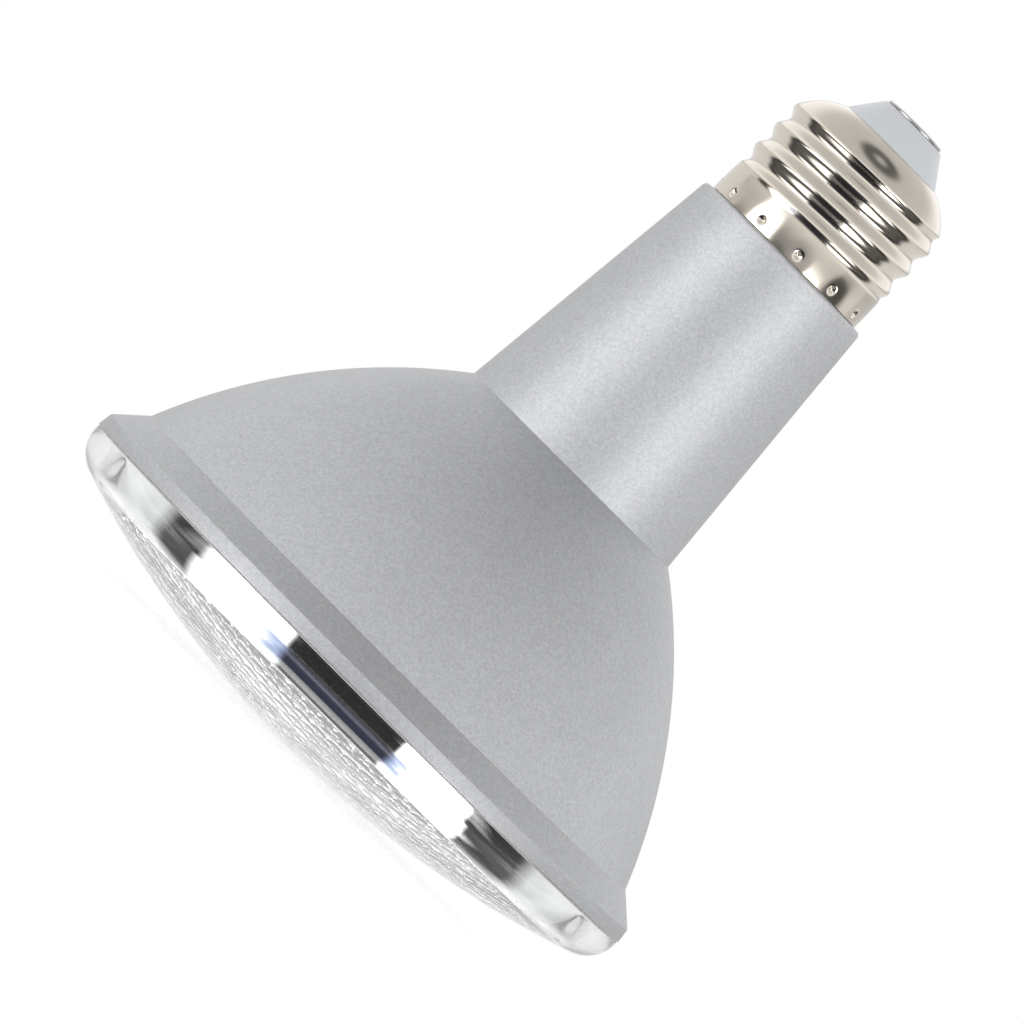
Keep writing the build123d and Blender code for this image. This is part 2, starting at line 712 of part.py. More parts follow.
def bridge_rectifier():
    row = (transformer_row + input_row) / 2
    return on_back(flat_package(**BRIDGE_PACKAGE), 0, row)


def driver_chip():
    row = (output_row + transformer_row) / 2
    return on_back(flat_package(**CHIP_PACKAGE), 0, row)


def output_diode():
    row = (driver_bottom + output_row) / 2
    return on_back(flat_package(**DIODE_PACKAGE), 0, row)


# Wires
def wire(route, diameter, bends):
    """Round wire along straight runs joined by tangent bends."""
    solid = Part()
    for run in FilletPolyline(*route, radius=bends).edges():
        section = Plane(origin=run @ 0, z_dir=run % 0) * Circle(diameter / 2)
        if run.geom_type == GeomType.CIRCLE:
            turn_axis = Axis(run.arc_center, (run @ 0 - run.arc_center).cross(run % 0))
            solid += revolve(section, turn_axis, math.degrees(run.length / run.radius))
        else:
            solid += extrude(section, run.length)
    return solid


neutral_height = spigot_top - NEUTRAL_WIRE_DIAMETER
insulator_arc = SHOULDER_ARC - SHELL_WALL - INSULATOR_CLEARANCE
insulator_flange = INSULATOR_FLANGE_DIAMETER / 2
flange_height = height_on_arc(shoulder_centre, insulator_arc, insulator_flange)
insulator_bottom = flange_height - INSULATOR_FLANGE_EDGE
shank_end = insulator_bottom - SHANK_TAIL


def live_lead():
    """From its landing on the driver board to the shank of the centre contact."""
    route = [
        (0, wire_y, landing_row),
        (0, wire_y, driver_top),
        (0, 0, shank_end - LIVE_WIRE_END),
        (0, 0, shank_end),
    ]
    return wire(route, WIRE_DIAMETER, WIRE_BEND)


def neutral_lead():
    """From its landing on the driver board, through the spigot's slot, to the skirt of the shell."""
    radius = NEUTRAL_WIRE_DIAMETER / 2
    landing_y = driver_front + radius
    route = [
        (NEUTRAL_WIRE_X, landing_y, landing_row),
        (NEUTRAL_WIRE_X, landing_y, driver_top),
        (NEUTRAL_WIRE_X, 0, neutral_height),
        (-math.sqrt(skirt_bore**2 - radius**2), 0, neutral_height),
    ]
    return wire(route, NEUTRAL_WIRE_DIAMETER, WIRE_BEND)


def led_leads():
    """Straight wires, soldered along the foot of the driver board and to the LED board."""
    length = driver_bottom + LED_WIRE_LANDING - led_board_face
    lead = Cylinder(WIRE_DIAMETER / 2, length, align=BASE)
    return Part() + [Pos(x, y, led_board_face) * lead for x, y in led_lead_places]


# Cap: shell with a rolled right-hand thread, insulator and contact
def rolled_thread():
    """Knuckle thread: a round ridge along a helix, begun a turn below the skirt's top to run in from it."""
    start = skirt_top - THREAD_PITCH
    path = Helix(THREAD_PITCH, shell_top - start, root_radius)
    low, high = (-SHELL_WALL, -THREAD_RIDGE_WIDTH / 2), (-SHELL_WALL, THREAD_RIDGE_WIDTH / 2)
    section = make_face([ThreePointArc(low, (THREAD_DEPTH, 0), high), Line(high, low)])
    ridge = sweep(Plane((root_radius, 0, 0), (1, 0, 0), (0, -1, 0)) * section, path=path, is_frenet=True)
    return Pos(0, 0, start) * Rot(0, 0, THREAD_START_ANGLE) * ridge


def shell_outside():
    """The thread runs in on a cone from the skirt, and out on the curve of the shoulder."""
    outer = crest_radius + SHELL_WALL
    run_in = [(skirt_radius - SKIRT_STEP, skirt_top), (outer, skirt_top + THREAD_RUN_IN)]
    arc_start = (outer, height_on_arc(shoulder_centre, SHOULDER_ARC, outer))
    shoulder = turned(
        Polyline((0, skirt_top), *run_in, arc_start),
        arc_edge(shoulder_centre, SHOULDER_ARC, arc_start, (shell_mouth, shell_top)),
        Polyline((shell_mouth, shell_top), (0, shell_top), (0, skirt_top)),
    )
    thread = disc(root_radius, skirt_top, shell_top) + rolled_thread()
    return disc(skirt_radius, shell_bottom, skirt_top) + (thread & shoulder)


def shell_inside():
    bore = root_radius - SHELL_WALL
    step = skirt_top - SHELL_WALL
    inner_arc = SHOULDER_ARC - SHELL_WALL
    arc_start = (bore, height_on_arc(shoulder_centre, inner_arc, bore))
    arc_end = (shell_mouth, height_on_arc(shoulder_centre, inner_arc, shell_mouth))
    skirt = [(skirt_bore, shell_bottom), (skirt_bore, step)]
    return turned(
        Polyline((0, shell_bottom), *skirt, (bore, step), arc_start),
        arc_edge(shoulder_centre, inner_arc, arc_start, arc_end),
        Polyline(arc_end, (shell_mouth, shell_top), (0, shell_top), (0, shell_bottom)),
    )


def screw_shell():
    shell = shell_outside() - shell_inside()
    dimple = Rot(0, 90, 0) * Cylinder(DIMPLE_DIAMETER / 2, 2 * DIMPLE_DEPTH)
    for index in range(DIMPLE_COUNT):
        turn = Rot(0, 0, DIMPLE_START_ANGLE + 360 * index / DIMPLE_COUNT)
        shell -= turn * Pos(skirt_radius, 0, shell_bottom + DIMPLE_HEIGHT) * dimple
    return shell


def base_insulator():
    neck = shell_mouth - INSULATOR_CLEARANCE
    flange_top = (insulator_flange, flange_height)
    neck_foot = (neck, height_on_arc(shoulder_centre, insulator_arc, neck))
    nose = [(neck, shell_top), (NOSE_TOP_DIAMETER / 2, nose_top)]
    body = turned(
        Polyline((0, insulator_bottom), (insulator_flange, insulator_bottom), flange_top),
        arc_edge(shoulder_centre, insulator_arc, flange_top, neck_foot),
        Polyline(neck_foot, *nose, (0, nose_top), (0, insulator_bottom)),
    )
    body = fillet(body.edges().group_by(Axis.Z)[-1], NOSE_EDGE)
    return body - disc(shank_hole, insulator_bottom, nose_top)


def centre_contact():
    head = disc(CONTACT_DIAMETER / 2, nose_top, nose_top + CONTACT_THICKNESS)
    head = fillet(head.edges().group_by(Axis.Z)[-1], CONTACT_EDGE)
    return head + disc(SHANK_DIAMETER / 2, shank_end, nose_top)


PIECES = (
    housing, lens, lens_gasket, reflector,
    led_board, led_packages, led_phosphors, board_screws, solder_joints,
    thermal_pad, heat_spreader, insulating_disc, driver_sleeve, driver_board,
    input_capacitor, output_capacitor, input_choke,
    transformer_core, transformer_bobbin, transformer_winding, fuse,
    bridge_rectifier, driver_chip, output_diode,
    live_lead, neutral_lead, led_leads,
    screw_shell, base_insulator, centre_contact,
)

os.makedirs("parts", exist_ok=True)
for piece in PIECES:
    export_step(piece(), f"parts/{piece.__name__}.step")
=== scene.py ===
# %% [markdown]
# # A reflector spotlight bulb, dressed for its portrait
#
# The lamp stands on the apex of its clear lens with its screw cap up. The CAD model gives every size and
# place; this script gives the pieces that the eye meets their finished shapes, their materials and their
# light. Each step is a pair: a few words on what the piece is, then the code that makes it.

# %% Load the frame
import math

import bpy
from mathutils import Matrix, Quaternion, Vector


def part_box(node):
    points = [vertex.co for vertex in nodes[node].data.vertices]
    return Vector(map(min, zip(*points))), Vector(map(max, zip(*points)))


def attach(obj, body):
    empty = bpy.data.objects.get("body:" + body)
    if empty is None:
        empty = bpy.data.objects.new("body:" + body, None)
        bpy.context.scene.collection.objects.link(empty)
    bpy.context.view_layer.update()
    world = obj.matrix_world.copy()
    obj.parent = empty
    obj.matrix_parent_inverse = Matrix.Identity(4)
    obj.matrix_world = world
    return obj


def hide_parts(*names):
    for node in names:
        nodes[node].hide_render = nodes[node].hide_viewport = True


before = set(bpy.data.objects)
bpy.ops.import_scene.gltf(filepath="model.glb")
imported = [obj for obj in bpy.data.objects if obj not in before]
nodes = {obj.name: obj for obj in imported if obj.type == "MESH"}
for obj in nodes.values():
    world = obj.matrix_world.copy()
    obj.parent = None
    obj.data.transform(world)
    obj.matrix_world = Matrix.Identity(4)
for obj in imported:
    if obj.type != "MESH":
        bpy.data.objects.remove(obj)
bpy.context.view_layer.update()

# %% [markdown]
# ## Turning pieces on a lathe
#
# Nearly every piece of a lamp is round, so it can be drawn as half a section and spun about the axis, as a
# metal spinner would form it. The outline is a list of (radius, height) points in millimetres. Arcs and
# rounded corners are worked out, so that an edge catches the light as a real one does. A Screw modifier
# would turn the outline too; the Spin tool is chosen because its mesh can be cleaned at once in edit mode.

# %% Outline helpers
MM = 0.001


def arc(centre, radius, start, end, steps):
    """Points on an arc about a centre, from one angle to another in degrees, ends included."""
    angles = [math.radians(start + (end - start) * i / steps) for i in range(steps + 1)]
    return [Vector((centre[0] + radius * math.cos(a), centre[1] + radius * math.sin(a))) for a in angles]


def swing(first, last, steps):
    """Vectors of one length that turn from one direction to another."""
    start, end = first.normalized(), last.normalized()
    return [start.slerp(end, i / steps).normalized() * first.length for i in range(steps + 1)]


def bulge(start, end, radius, steps):
    """Points on the arc of a radius between two points, bulging away from the axis."""
    first, last = Vector(start), Vector(end)
    chord = last - first
    side = Vector((-chord.y, chord.x)).normalized()
    side = -side if side.x > 0 else side
    centre = (first + last) / 2 + side * math.sqrt(radius**2 - (chord.length / 2) ** 2)
    return [centre + spoke for spoke in swing(first - centre, last - centre, steps)]


def rounded(corners, steps=6):
    """Points through corners of (radius, height, rounding); a rounding of 0 keeps the corner sharp."""
    points = []
    for i, (x, y, rounding) in enumerate(corners):
        corner = Vector((x, y))
        if not rounding:
            points.append(corner)
            continue
        back = (Vector(corners[i - 1][:2]) - corner).normalized()
        ahead = (Vector(corners[(i + 1) % len(corners)][:2]) - corner).normalized()
        half = back.angle(ahead) / 2
        middle = corner + (back + ahead).normalized() * rounding / math.sin(half)
        first = corner + back * rounding / math.tan(half) - middle
        last = corner + ahead * rounding / math.tan(half) - middle
        points += [middle + spoke for spoke in swing(first, last, steps)]
    return points


print("a rounded corner has", len(rounded([(0, 0, 0), (5, 0, 1), (5, 5, 0)])), "points")


# %% Lathe
SEAM = 0.001 * MM


def deselect():
    """Deselects all objects, because an operator acts on everything that is selected."""
    for thing in bpy.context.selected_objects:
        thing.select_set(False)


def lathe(name, outline, steps=256):
    """A piece turned from an outline: one vertex is extruded along it, and the wire is spun a full turn."""
    deselect()
    bpy.ops.mesh.primitive_plane_add(size=MM)
    piece = bpy.context.active_object
    piece.name = piece.data.name = name
    bpy.ops.object.mode_set(mode="EDIT")
    bpy.ops.mesh.select_all(action="SELECT")
    bpy.ops.mesh.merge(type="CENTER")
    here = Vector((0.0, 0.0))
    for i, point in enumerate(outline):
        move = ((point[0] - here.x) * MM, 0, (point[1] - here.y) * MM)
        if i == 0:
            bpy.ops.transform.translate(value=move)
        else:
            bpy.ops.mesh.extrude_region_move(TRANSFORM_OT_translate={"value": move})
        here = Vector(point[:2])
    bpy.ops.mesh.select_all(action="SELECT")
    bpy.ops.mesh.spin(steps=steps, angle=2 * math.pi, center=(0, 0, 0), axis=(0, 0, 1))
    bpy.ops.mesh.select_all(action="SELECT")
    bpy.ops.mesh.remove_doubles(threshold=SEAM)
    bpy.ops.mesh.normals_make_consistent(inside=False)
    bpy.ops.object.mode_set(mode="OBJECT")
    return piece


def finish_piece(piece, material, node, smooth=30):
    """Shades a piece, gives it its material, parents it to the root body, and hides the CAD node that it
    stands for.
    """
    deselect()
    piece.select_set(True)
    bpy.context.view_layer.objects.active = piece
    bpy.ops.object.shade_smooth_by_angle(angle=math.radians(smooth))
    piece.data.materials.clear()
    piece.data.materials.append(material)
    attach(piece, "root")
    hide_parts(node)
    triangles = sum(len(face.vertices) - 2 for face in piece.data.polygons)
    print(f"{piece.name}: {triangles} triangles for {node}")


print("a seam is merged within", round(SEAM / MM, 4), "mm")

# %% [markdown]
# ## Colours and nodes
#
# Colours are written as the sRGB hex values that a picture shows, and one function turns them to the linear
# values that Blender works in. One more function adds a node, sets it and links it, which keeps each material
# readable as a short list.

# %% Colour and node helpers
def linear(code):
    """Linear RGBA of an sRGB hex colour."""
    parts = [int(code[i : i + 2], 16) / 255 for i in (1, 3, 5)]
    return tuple(p / 12.92 if p <= 0.04045 else ((p + 0.055) / 1.055) ** 2.4 for p in parts) + (1.0,)


def add(tree, kind, inputs=None, **settings):
    """Adds a node, sets its settings, and links or sets its inputs."""
    made = tree.nodes.new(kind)
    for name, value in settings.items():
        setattr(made, name, value)
    for socket, value in (inputs or {}).items():
        if isinstance(value, bpy.types.NodeSocket):
            tree.links.new(value, made.inputs[socket])
        else:
            made.inputs[socket].default_value = value
    return made


def new_material(name):
    """An empty node material: its tree, its principled shader, and Object coordinates."""
    material = bpy.data.materials.new(name)
    material.use_nodes = True
    tree = material.node_tree
    tree.nodes.clear()
    shader = add(tree, "ShaderNodeBsdfPrincipled")
    add(tree, "ShaderNodeOutputMaterial", {"Surface": shader.outputs["BSDF"]})
    where = add(tree, "ShaderNodeTexCoord").outputs["Object"]
    return material, tree, shader, where


print("mid grey is", [round(v, 3) for v in linear("#808080")[:3]])

# %% [markdown]
# ## Silver paint
#
# The housing is an aluminium casting sprayed with a silver lacquer. Flakes of aluminium lie nearly flat in
# the lacquer, so it shines as a satin metal, with a fine sparkle where single flakes tilt. Noise would give
# soft clouds only; a Voronoi pattern is chosen because each of its cells can have a tilt and a brightness of
# its own, as a flake has. Real flakes are about 0.03 mm; they are drawn at 0.26 mm, as coarse as the grain
# that shows in the picture.

# %% Silver paint
FLAKE, CLOUD = 0.26 * MM, 9 * MM

silver_paint, tree, shader, where = new_material("silver_flake_lacquer")
flakes = add(tree, "ShaderNodeTexVoronoi", {"Vector": where, "Scale": 1 / FLAKE})
flake = add(tree, "ShaderNodeSeparateColor", {"Color": flakes.outputs["Color"]})
cloud = add(tree, "ShaderNodeTexNoise", {"Vector": where, "Scale": 1 / CLOUD, "Detail": 3.0})
shade = add(tree, "ShaderNodeMapRange", {"Value": flake.outputs["Red"], "To Min": 0.9, "To Max": 1.07})
patch = add(tree, "ShaderNodeMapRange", {"Value": cloud.outputs["Fac"], "To Min": 0.97, "To Max": 1.03})
both = add(
    tree,
    "ShaderNodeMath",
    {0: shade.outputs["Result"], 1: patch.outputs["Result"]},
    operation="MULTIPLY",
)
paint = add(
    tree,
    "ShaderNodeMix",
    {"Factor": 1.0, "A": linear("#CACBCD"), "B": both.outputs["Value"]},
    data_type="RGBA",
    blend_type="MULTIPLY",
)
tree.links.new(paint.outputs["Result"], shader.inputs["Base Color"])
tilt = add(
    tree,
    "ShaderNodeBump",
    {"Height": flake.outputs["Green"], "Strength": 0.25, "Distance": 0.03 * MM},
)
tree.links.new(tilt.outputs["Normal"], shader.inputs["Normal"])
shader.inputs["Metallic"].default_value = 1.0
shader.inputs["Roughness"].default_value = 0.54
shader.inputs["Specular Tint"].default_value = (0.8, 0.8, 0.8, 1)
print("silver lacquer: flakes of", round(FLAKE / MM, 2), "mm")

# %% [markdown]
# ## Housing
#
# Bowl, neck, collar and rim are one casting. The bowl is a single large arc, the neck a slow taper, and a
# sloped collar ends in an upright lip, drawn in a little towards its top, that holds the lens. It could be
# joined from a sphere and cones; one closed outline, inside and out, is chosen because every edge then gets
# the small rounding of a painted casting.

# %% Housing
RIM_BOTTOM, RIM_TOP, RIM_RADIUS, RIM_BORE, RIM_DRAFT = 12.44, 14.44, 47.5, 46.1, 0.3
MOUTH, THROAT, NECK_END = (43.35, 17.94), (17.75, 51.34), (14.05, 90.14)
THROAT_INSIDE, MOUTH_INSIDE, RIM_SEAT = (16.43, 50.53), (41.9, 17.35), 13.79
BOWL_ARC, HOUSING_WALL, TAPER_ROWS = 78.25, 1.4, 12
LIP_FOOT_EDGE, LIP_TOP_EDGE, NECK_OUTER_EDGE, NECK_INNER_EDGE = 0.1, 0.35, 0.6, 0.2

lip = rounded(
    [
        (RIM_BORE, RIM_BOTTOM, 0),
        (RIM_RADIUS, RIM_BOTTOM, LIP_FOOT_EDGE),
        (RIM_RADIUS - RIM_DRAFT, RIM_TOP, LIP_TOP_EDGE),
        (*MOUTH, 0),
    ]
)
bowl = bulge(MOUTH, THROAT, BOWL_ARC, steps=40)
neck = rounded(
    [
        (*THROAT, 0),
        (*NECK_END, NECK_OUTER_EDGE),
        (NECK_END[0] - HOUSING_WALL, NECK_END[1], NECK_INNER_EDGE),
        (*THROAT_INSIDE, 0),
    ]
)
taper = [neck[0].lerp(neck[1], i / TAPER_ROWS) for i in range(1, TAPER_ROWS)]
inside = bulge(THROAT_INSIDE, MOUTH_INSIDE, BOWL_ARC - HOUSING_WALL, steps=16)
bore = [(RIM_BORE, RIM_SEAT), (RIM_BORE, RIM_BOTTOM)]
housing = lathe("painted_housing", lip + bowl[1:] + taper + neck[1:] + inside[1:] + bore)
finish_piece(housing, silver_paint, "housing", smooth=20)

# %% [markdown]
# ## Nickel plate
#
# The screw shell is thin brass, drawn and rolled, with a bright nickel plate. Nickel is a slightly warm metal
# and the plate is nearly a mirror, so most of what the eye sees on it is the studio. One even roughness would
# look like chrome; two noises, one for the haze and one for the rolling marks, are chosen to break it up.

# %% Nickel plate
HAZE, ROLLING = 2.5 * MM, 1.2 * MM

nickel_plate, tree, shader, where = new_material("bright_nickel_plate")
haze = add(tree, "ShaderNodeTexNoise", {"Vector": where, "Scale": 1 / HAZE, "Detail": 4.0})
dull = add(tree, "ShaderNodeMapRange", {"Value": haze.outputs["Fac"], "To Min": 0.11, "To Max": 0.19})
tree.links.new(dull.outputs["Result"], shader.inputs["Roughness"])
tint = add(
    tree,
    "ShaderNodeMix",
    {"Factor": haze.outputs["Fac"], "A": linear("#DDD6CC"), "B": linear("#D2C9BC")},
    data_type="RGBA",
)
tree.links.new(tint.outputs["Result"], shader.inputs["Base Color"])
waves = add(tree, "ShaderNodeTexNoise", {"Vector": where, "Scale": 1 / ROLLING, "Detail": 1.0})
marks = add(
    tree,
    "ShaderNodeBump",
    {"Height": waves.outputs["Fac"], "Strength": 0.12, "Distance": 0.02 * MM},
)
tree.links.new(marks.outputs["Normal"], shader.inputs["Normal"])
shader.inputs["Metallic"].default_value = 1.0
print("nickel: haze of", round(HAZE / MM, 2), "mm, rolling marks of", round(ROLLING / MM, 2), "mm")

# %% [markdown]
# ## Screw shell
#
# The medium screw thread is rolled into the sheet, so its crests and roots are equal round waves that climb
# as a helix. Below it is a plain skirt, staked to the neck by a ring of punched dimples, and above it a round
# shoulder draws in to the white nose. A Screw modifier would give the helix but not its soft start on the
# skirt and its end on the shoulder. So the shell is turned plain with many rows, and each vertex is then
# moved in or out to where the roller and the punch would leave it.

# %% Shape of the screw shell
SHELL_BOTTOM, SKIRT_TOP, SHOULDER_START, SHELL_TOP = 90.29, 94.79, 105.34, 109.94
SKIRT_RADIUS, CREST, ROOT, SHOULDER_END = 12.9, 13.0, 12.15, 8.0
PITCH, CREST_ANGLE, SHEET = 3.629, 204.0, 0.35
RUN_IN_EARLY, RUN_IN_LENGTH = 0.2, 1.5
DIMPLES, DIMPLE_HEIGHT, DIMPLE_START, DIMPLE_REACH, DIMPLE_DEPTH = 12, 91.5, 275.0, 0.75, 0.4
DRAWN_REACH, DRAWN_DEPTH = 2.4, 0.05
SHOULDER_ARC, SHOULDER_BLEND, SHOULDER_FLARE, BARREL = 10.0, 0.25, 0.25, 0.012

shoulder = bulge((CREST, SHOULDER_START), (SHOULDER_END, SHELL_TOP), SHOULDER_ARC, steps=40)


def shoulder_radius(height):
    """Radius of the shoulder at a height; below it, a flare that leaves the thread free."""
    if height <= shoulder[0].y:
        return CREST + (shoulder[0].y - height) * SHOULDER_FLARE
    for low, high in zip(shoulder, shoulder[1:]):
        if height <= high.y:
            return low.x + (high.x - low.x) * (height - low.y) / (high.y - low.y)
    return shoulder[-1].x


def ease(x):
    """A smooth rise from 0 to 1 while x goes from 0 to 1."""
    x = min(max(x, 0.0), 1.0)
    return x * x * (3 - 2 * x)


def shell_radius(angle, height):
    """Outer radius of the screw shell at an angle in degrees and a height in millimetres."""
    phase = math.radians(angle - CREST_ANGLE) - 2 * math.pi * (height - SKIRT_TOP) / PITCH
    wave = (CREST + ROOT) / 2 + (CREST - ROOT) / 2 * math.cos(phase)
    rolled = ease((height - SKIRT_TOP + RUN_IN_EARLY) / RUN_IN_LENGTH)
    skirt = SKIRT_RADIUS - BARREL * (height - DIMPLE_HEIGHT) ** 2
    radius = skirt + (wave - skirt) * rolled
    limit = shoulder_radius(height)
    mix = ease(0.5 + (limit - radius) / (2 * SHOULDER_BLEND) / 2)
    radius = radius * mix + limit * (1 - mix) - SHOULDER_BLEND * mix * (1 - mix)
    step = 360 / DIMPLES
    across = (angle - DIMPLE_START + step / 2) % step - step / 2
    distance = math.hypot(math.radians(across) * SKIRT_RADIUS, height - DIMPLE_HEIGHT)
    if distance < DRAWN_REACH:
        punch = DIMPLE_DEPTH * (1 - ease(distance / DIMPLE_REACH))
        drawn = DRAWN_DEPTH * (1 - ease(distance / DRAWN_REACH))
        radius -= punch + drawn
    return radius


print("thread: crest to root", round(CREST - ROOT, 2), "mm, pitch", PITCH, "mm")

# %% Turn the shell and roll its thread
ROWS = 104

outside = [(SKIRT_RADIUS, SHELL_BOTTOM + (SHELL_TOP - SHELL_BOTTOM) * i / ROWS) for i in range(ROWS + 1)]
wall = [(SKIRT_RADIUS - SHEET, height) for radius, height in outside[::-2]]
screw_shell = lathe("rolled_screw_shell", outside + wall + [outside[0]], steps=480)
for vertex in screw_shell.data.vertices:
    place = vertex.co / MM
    depth = SKIRT_RADIUS - math.hypot(place.x, place.y)
    angle = math.degrees(math.atan2(place.y, place.x))
    radius = (shell_radius(angle, place.z) - depth) * MM
    turn = math.radians(angle)
    vertex.co = (radius * math.cos(turn), radius * math.sin(turn), vertex.co.z)
finish_piece(screw_shell, nickel_plate, "screw_shell", smooth=50)

# %% [markdown]
# ## Nose
#
# The nose is a white moulded insulator: a plug that sits in the shell, and a short cone with soft edges above
# it. A cone primitive would have hard edges, so it is turned from an outline with rounded corners. The
# moulding is nearly even in colour, with a faint mottle and a half gloss.

# %% White insulator
MOTTLE = 1.5 * MM

white_insulator, tree, shader, where = new_material("white_moulded_insulator")
mottle = add(tree, "ShaderNodeTexNoise", {"Vector": where, "Scale": 1 / MOTTLE, "Detail": 3.0})
tone = add(
    tree,
    "ShaderNodeMix",
    {"Factor": mottle.outputs["Fac"], "A": linear("#C7C9CD"), "B": linear("#CED0D2")},
    data_type="RGBA",
)
tree.links.new(tone.outputs["Result"], shader.inputs["Base Color"])
skin = add(
    tree,
    "ShaderNodeBump",
    {"Height": mottle.outputs["Fac"], "Strength": 0.1, "Distance": 0.02 * MM},
)
tree.links.new(skin.outputs["Normal"], shader.inputs["Normal"])
shader.inputs["Roughness"].default_value = 0.38
shader.inputs["IOR"].default_value = 1.5
print("white insulator: mottle of", round(MOTTLE / MM, 2), "mm")

# %% Nose
nose_low, nose_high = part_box("base_insulator")
NOSE_FOOT, NOSE_TIP = nose_low.z / MM, nose_high.z / MM
NOSE_BORE, NOSE_PLUG, NOSE_SEAT, NOSE_CONE, NOSE_FACE, NOSE_STEP = 2.0, 7.75, 7.9, 7.6, 4.9, 0.45
PLUG_EDGE, SEAT_EDGE, CONE_EDGE, FACE_EDGE = 0.2, 0.15, 0.3, 0.7

nose_outline = rounded(
    [
        (NOSE_BORE, NOSE_FOOT, 0),
        (NOSE_PLUG, NOSE_FOOT, PLUG_EDGE),
        (NOSE_SEAT, SHELL_TOP, SEAT_EDGE),
        (NOSE_CONE, SHELL_TOP + NOSE_STEP, CONE_EDGE),
        (NOSE_FACE, NOSE_TIP, FACE_EDGE),
        (NOSE_BORE, NOSE_TIP, 0),
        (NOSE_BORE, NOSE_FOOT, 0),
    ]
)
nose = lathe("white_nose", nose_outline, steps=192)
finish_piece(nose, white_insulator, "base_insulator")

# %% [markdown]
# ## Centre contact
#
# The contact is a brass button with a shank, riveted through the nose, thin and slightly domed. It was
# dipped in tin, which sets with soft lumps, so one noise gives the lumps, the duller spots and the tone
# together. It is turned like the rest, from the end of its shank to the middle of its crown. The shank comes
# to a point inside the nose, where it is never seen.

# %% Tinned brass
LUMP = 0.8 * MM

tinned_contact, tree, shader, where = new_material("tinned_brass")
drops = add(tree, "ShaderNodeTexNoise", {"Vector": where, "Scale": 1 / LUMP, "Detail": 4.0})
tin = add(
    tree,
    "ShaderNodeMix",
    {"Factor": drops.outputs["Fac"], "A": linear("#A5A39F"), "B": linear("#CBC9C5")},
    data_type="RGBA",
)
tree.links.new(tin.outputs["Result"], shader.inputs["Base Color"])
rough = add(tree, "ShaderNodeMapRange", {"Value": drops.outputs["Fac"], "To Min": 0.18, "To Max": 0.36})
tree.links.new(rough.outputs["Result"], shader.inputs["Roughness"])
lumps = add(
    tree,
    "ShaderNodeBump",
    {"Height": drops.outputs["Fac"], "Strength": 0.3, "Distance": 0.05 * MM},
)
tree.links.new(lumps.outputs["Normal"], shader.inputs["Normal"])
shader.inputs["Metallic"].default_value = 1.0
print("tin: lumps of", round(LUMP / MM, 2), "mm")

# %% Contact
contact_low, contact_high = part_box("centre_contact")
CONTACT_RADIUS, CONTACT_FOOT, CONTACT_TOP = contact_high.x / MM, contact_low.z / MM, contact_high.z / MM
SHANK, BUTTON_SIDE, CROWN, CROWN_DROP = 1.1, 0.38, 2.4, 0.02
SHANK_EDGE, UNDER_EDGE, SIDE_EDGE, CROWN_EDGE = 0.2, 0.1, 0.15, 0.4

contact_outline = [(0, CONTACT_FOOT)] + rounded(
    [
        (SHANK, CONTACT_FOOT, SHANK_EDGE),
        (SHANK, NOSE_TIP, 0),
        (CONTACT_RADIUS, NOSE_TIP, UNDER_EDGE),
        (CONTACT_RADIUS, NOSE_TIP + BUTTON_SIDE, SIDE_EDGE),
        (CROWN, CONTACT_TOP - CROWN_DROP, CROWN_EDGE),
        (0, CONTACT_TOP, 0),
    ]
)
contact = lathe("riveted_contact", contact_outline, steps=128)
finish_piece(contact, tinned_contact, "centre_contact")

# %% [markdown]
# ## Mirror metallising
#
# The reflector is a moulded cup with aluminium deposited on it in a vacuum. It is the brightest mirror on the
# lamp, and through the clear side of the lens its skirt shows as a band of black and white, the studio
# pressed flat. A perfect mirror would draw that band with ruler straight edges, so a faint ripple from the
# moulding is added as bump.

# %% Mirror metallising
FLOW = 5 * MM

mirror, tree, shader, where = new_material("vacuum_metallised_mirror")
flow = add(tree, "ShaderNodeTexNoise", {"Vector": where, "Scale": 1 / FLOW, "Detail": 2.0})
ripple = add(
    tree,
    "ShaderNodeBump",
    {"Height": flow.outputs["Fac"], "Strength": 0.1, "Distance": 0.05 * MM},
)
tree.links.new(ripple.outputs["Normal"], shader.inputs["Normal"])
film = add(
    tree,
    "ShaderNodeMix",
    {"Factor": flow.outputs["Fac"], "A": linear("#FAFAFB"), "B": linear("#FCFCFC")},
    data_type="RGBA",
)
tree.links.new(film.outputs["Result"], shader.inputs["Base Color"])
shader.inputs["Metallic"].default_value = 1.0
shader.inputs["Roughness"].default_value = 0.03
print("mirror: ripple of", round(FLOW / MM, 2), "mm")

# %% [markdown]
# ## Reflector
#
# The cup is a curved wall with a flange that rests on the spigot of the lens and a straight skirt that hangs
# into the lens. The skirt thins to an edge at its foot, and its lower half leans in by a hair, so that the
# band has a second, lower tier that looks further down into the studio. All of it is one outline, turned
# once, because a join between cup and skirt would show through the lens.

# %% Reflector
FLANGE, FLANGE_TOP = 13.14, 13.94
BAND_OUTER, BAND_INNER, BAND_TIP, BAND_LEAN = 42.0, 41.0, 41.65, 0.14
BAND_WAIST, BAND_FOOT, WAIST_EDGE, BAND_EDGE = 10.15, 8.48, 0.3, 0.04
CUP_MOUTH, CUP_FOOT, CUP_ARC = (BAND_INNER, FLANGE), (9.1, 42.54), 60.0
BACK_MOUTH, BACK_FOOT, BACK_ARC = (43.0, FLANGE_TOP), (10.1, 43.0), CUP_ARC + 1
reflector_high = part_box("reflector")[1] / MM

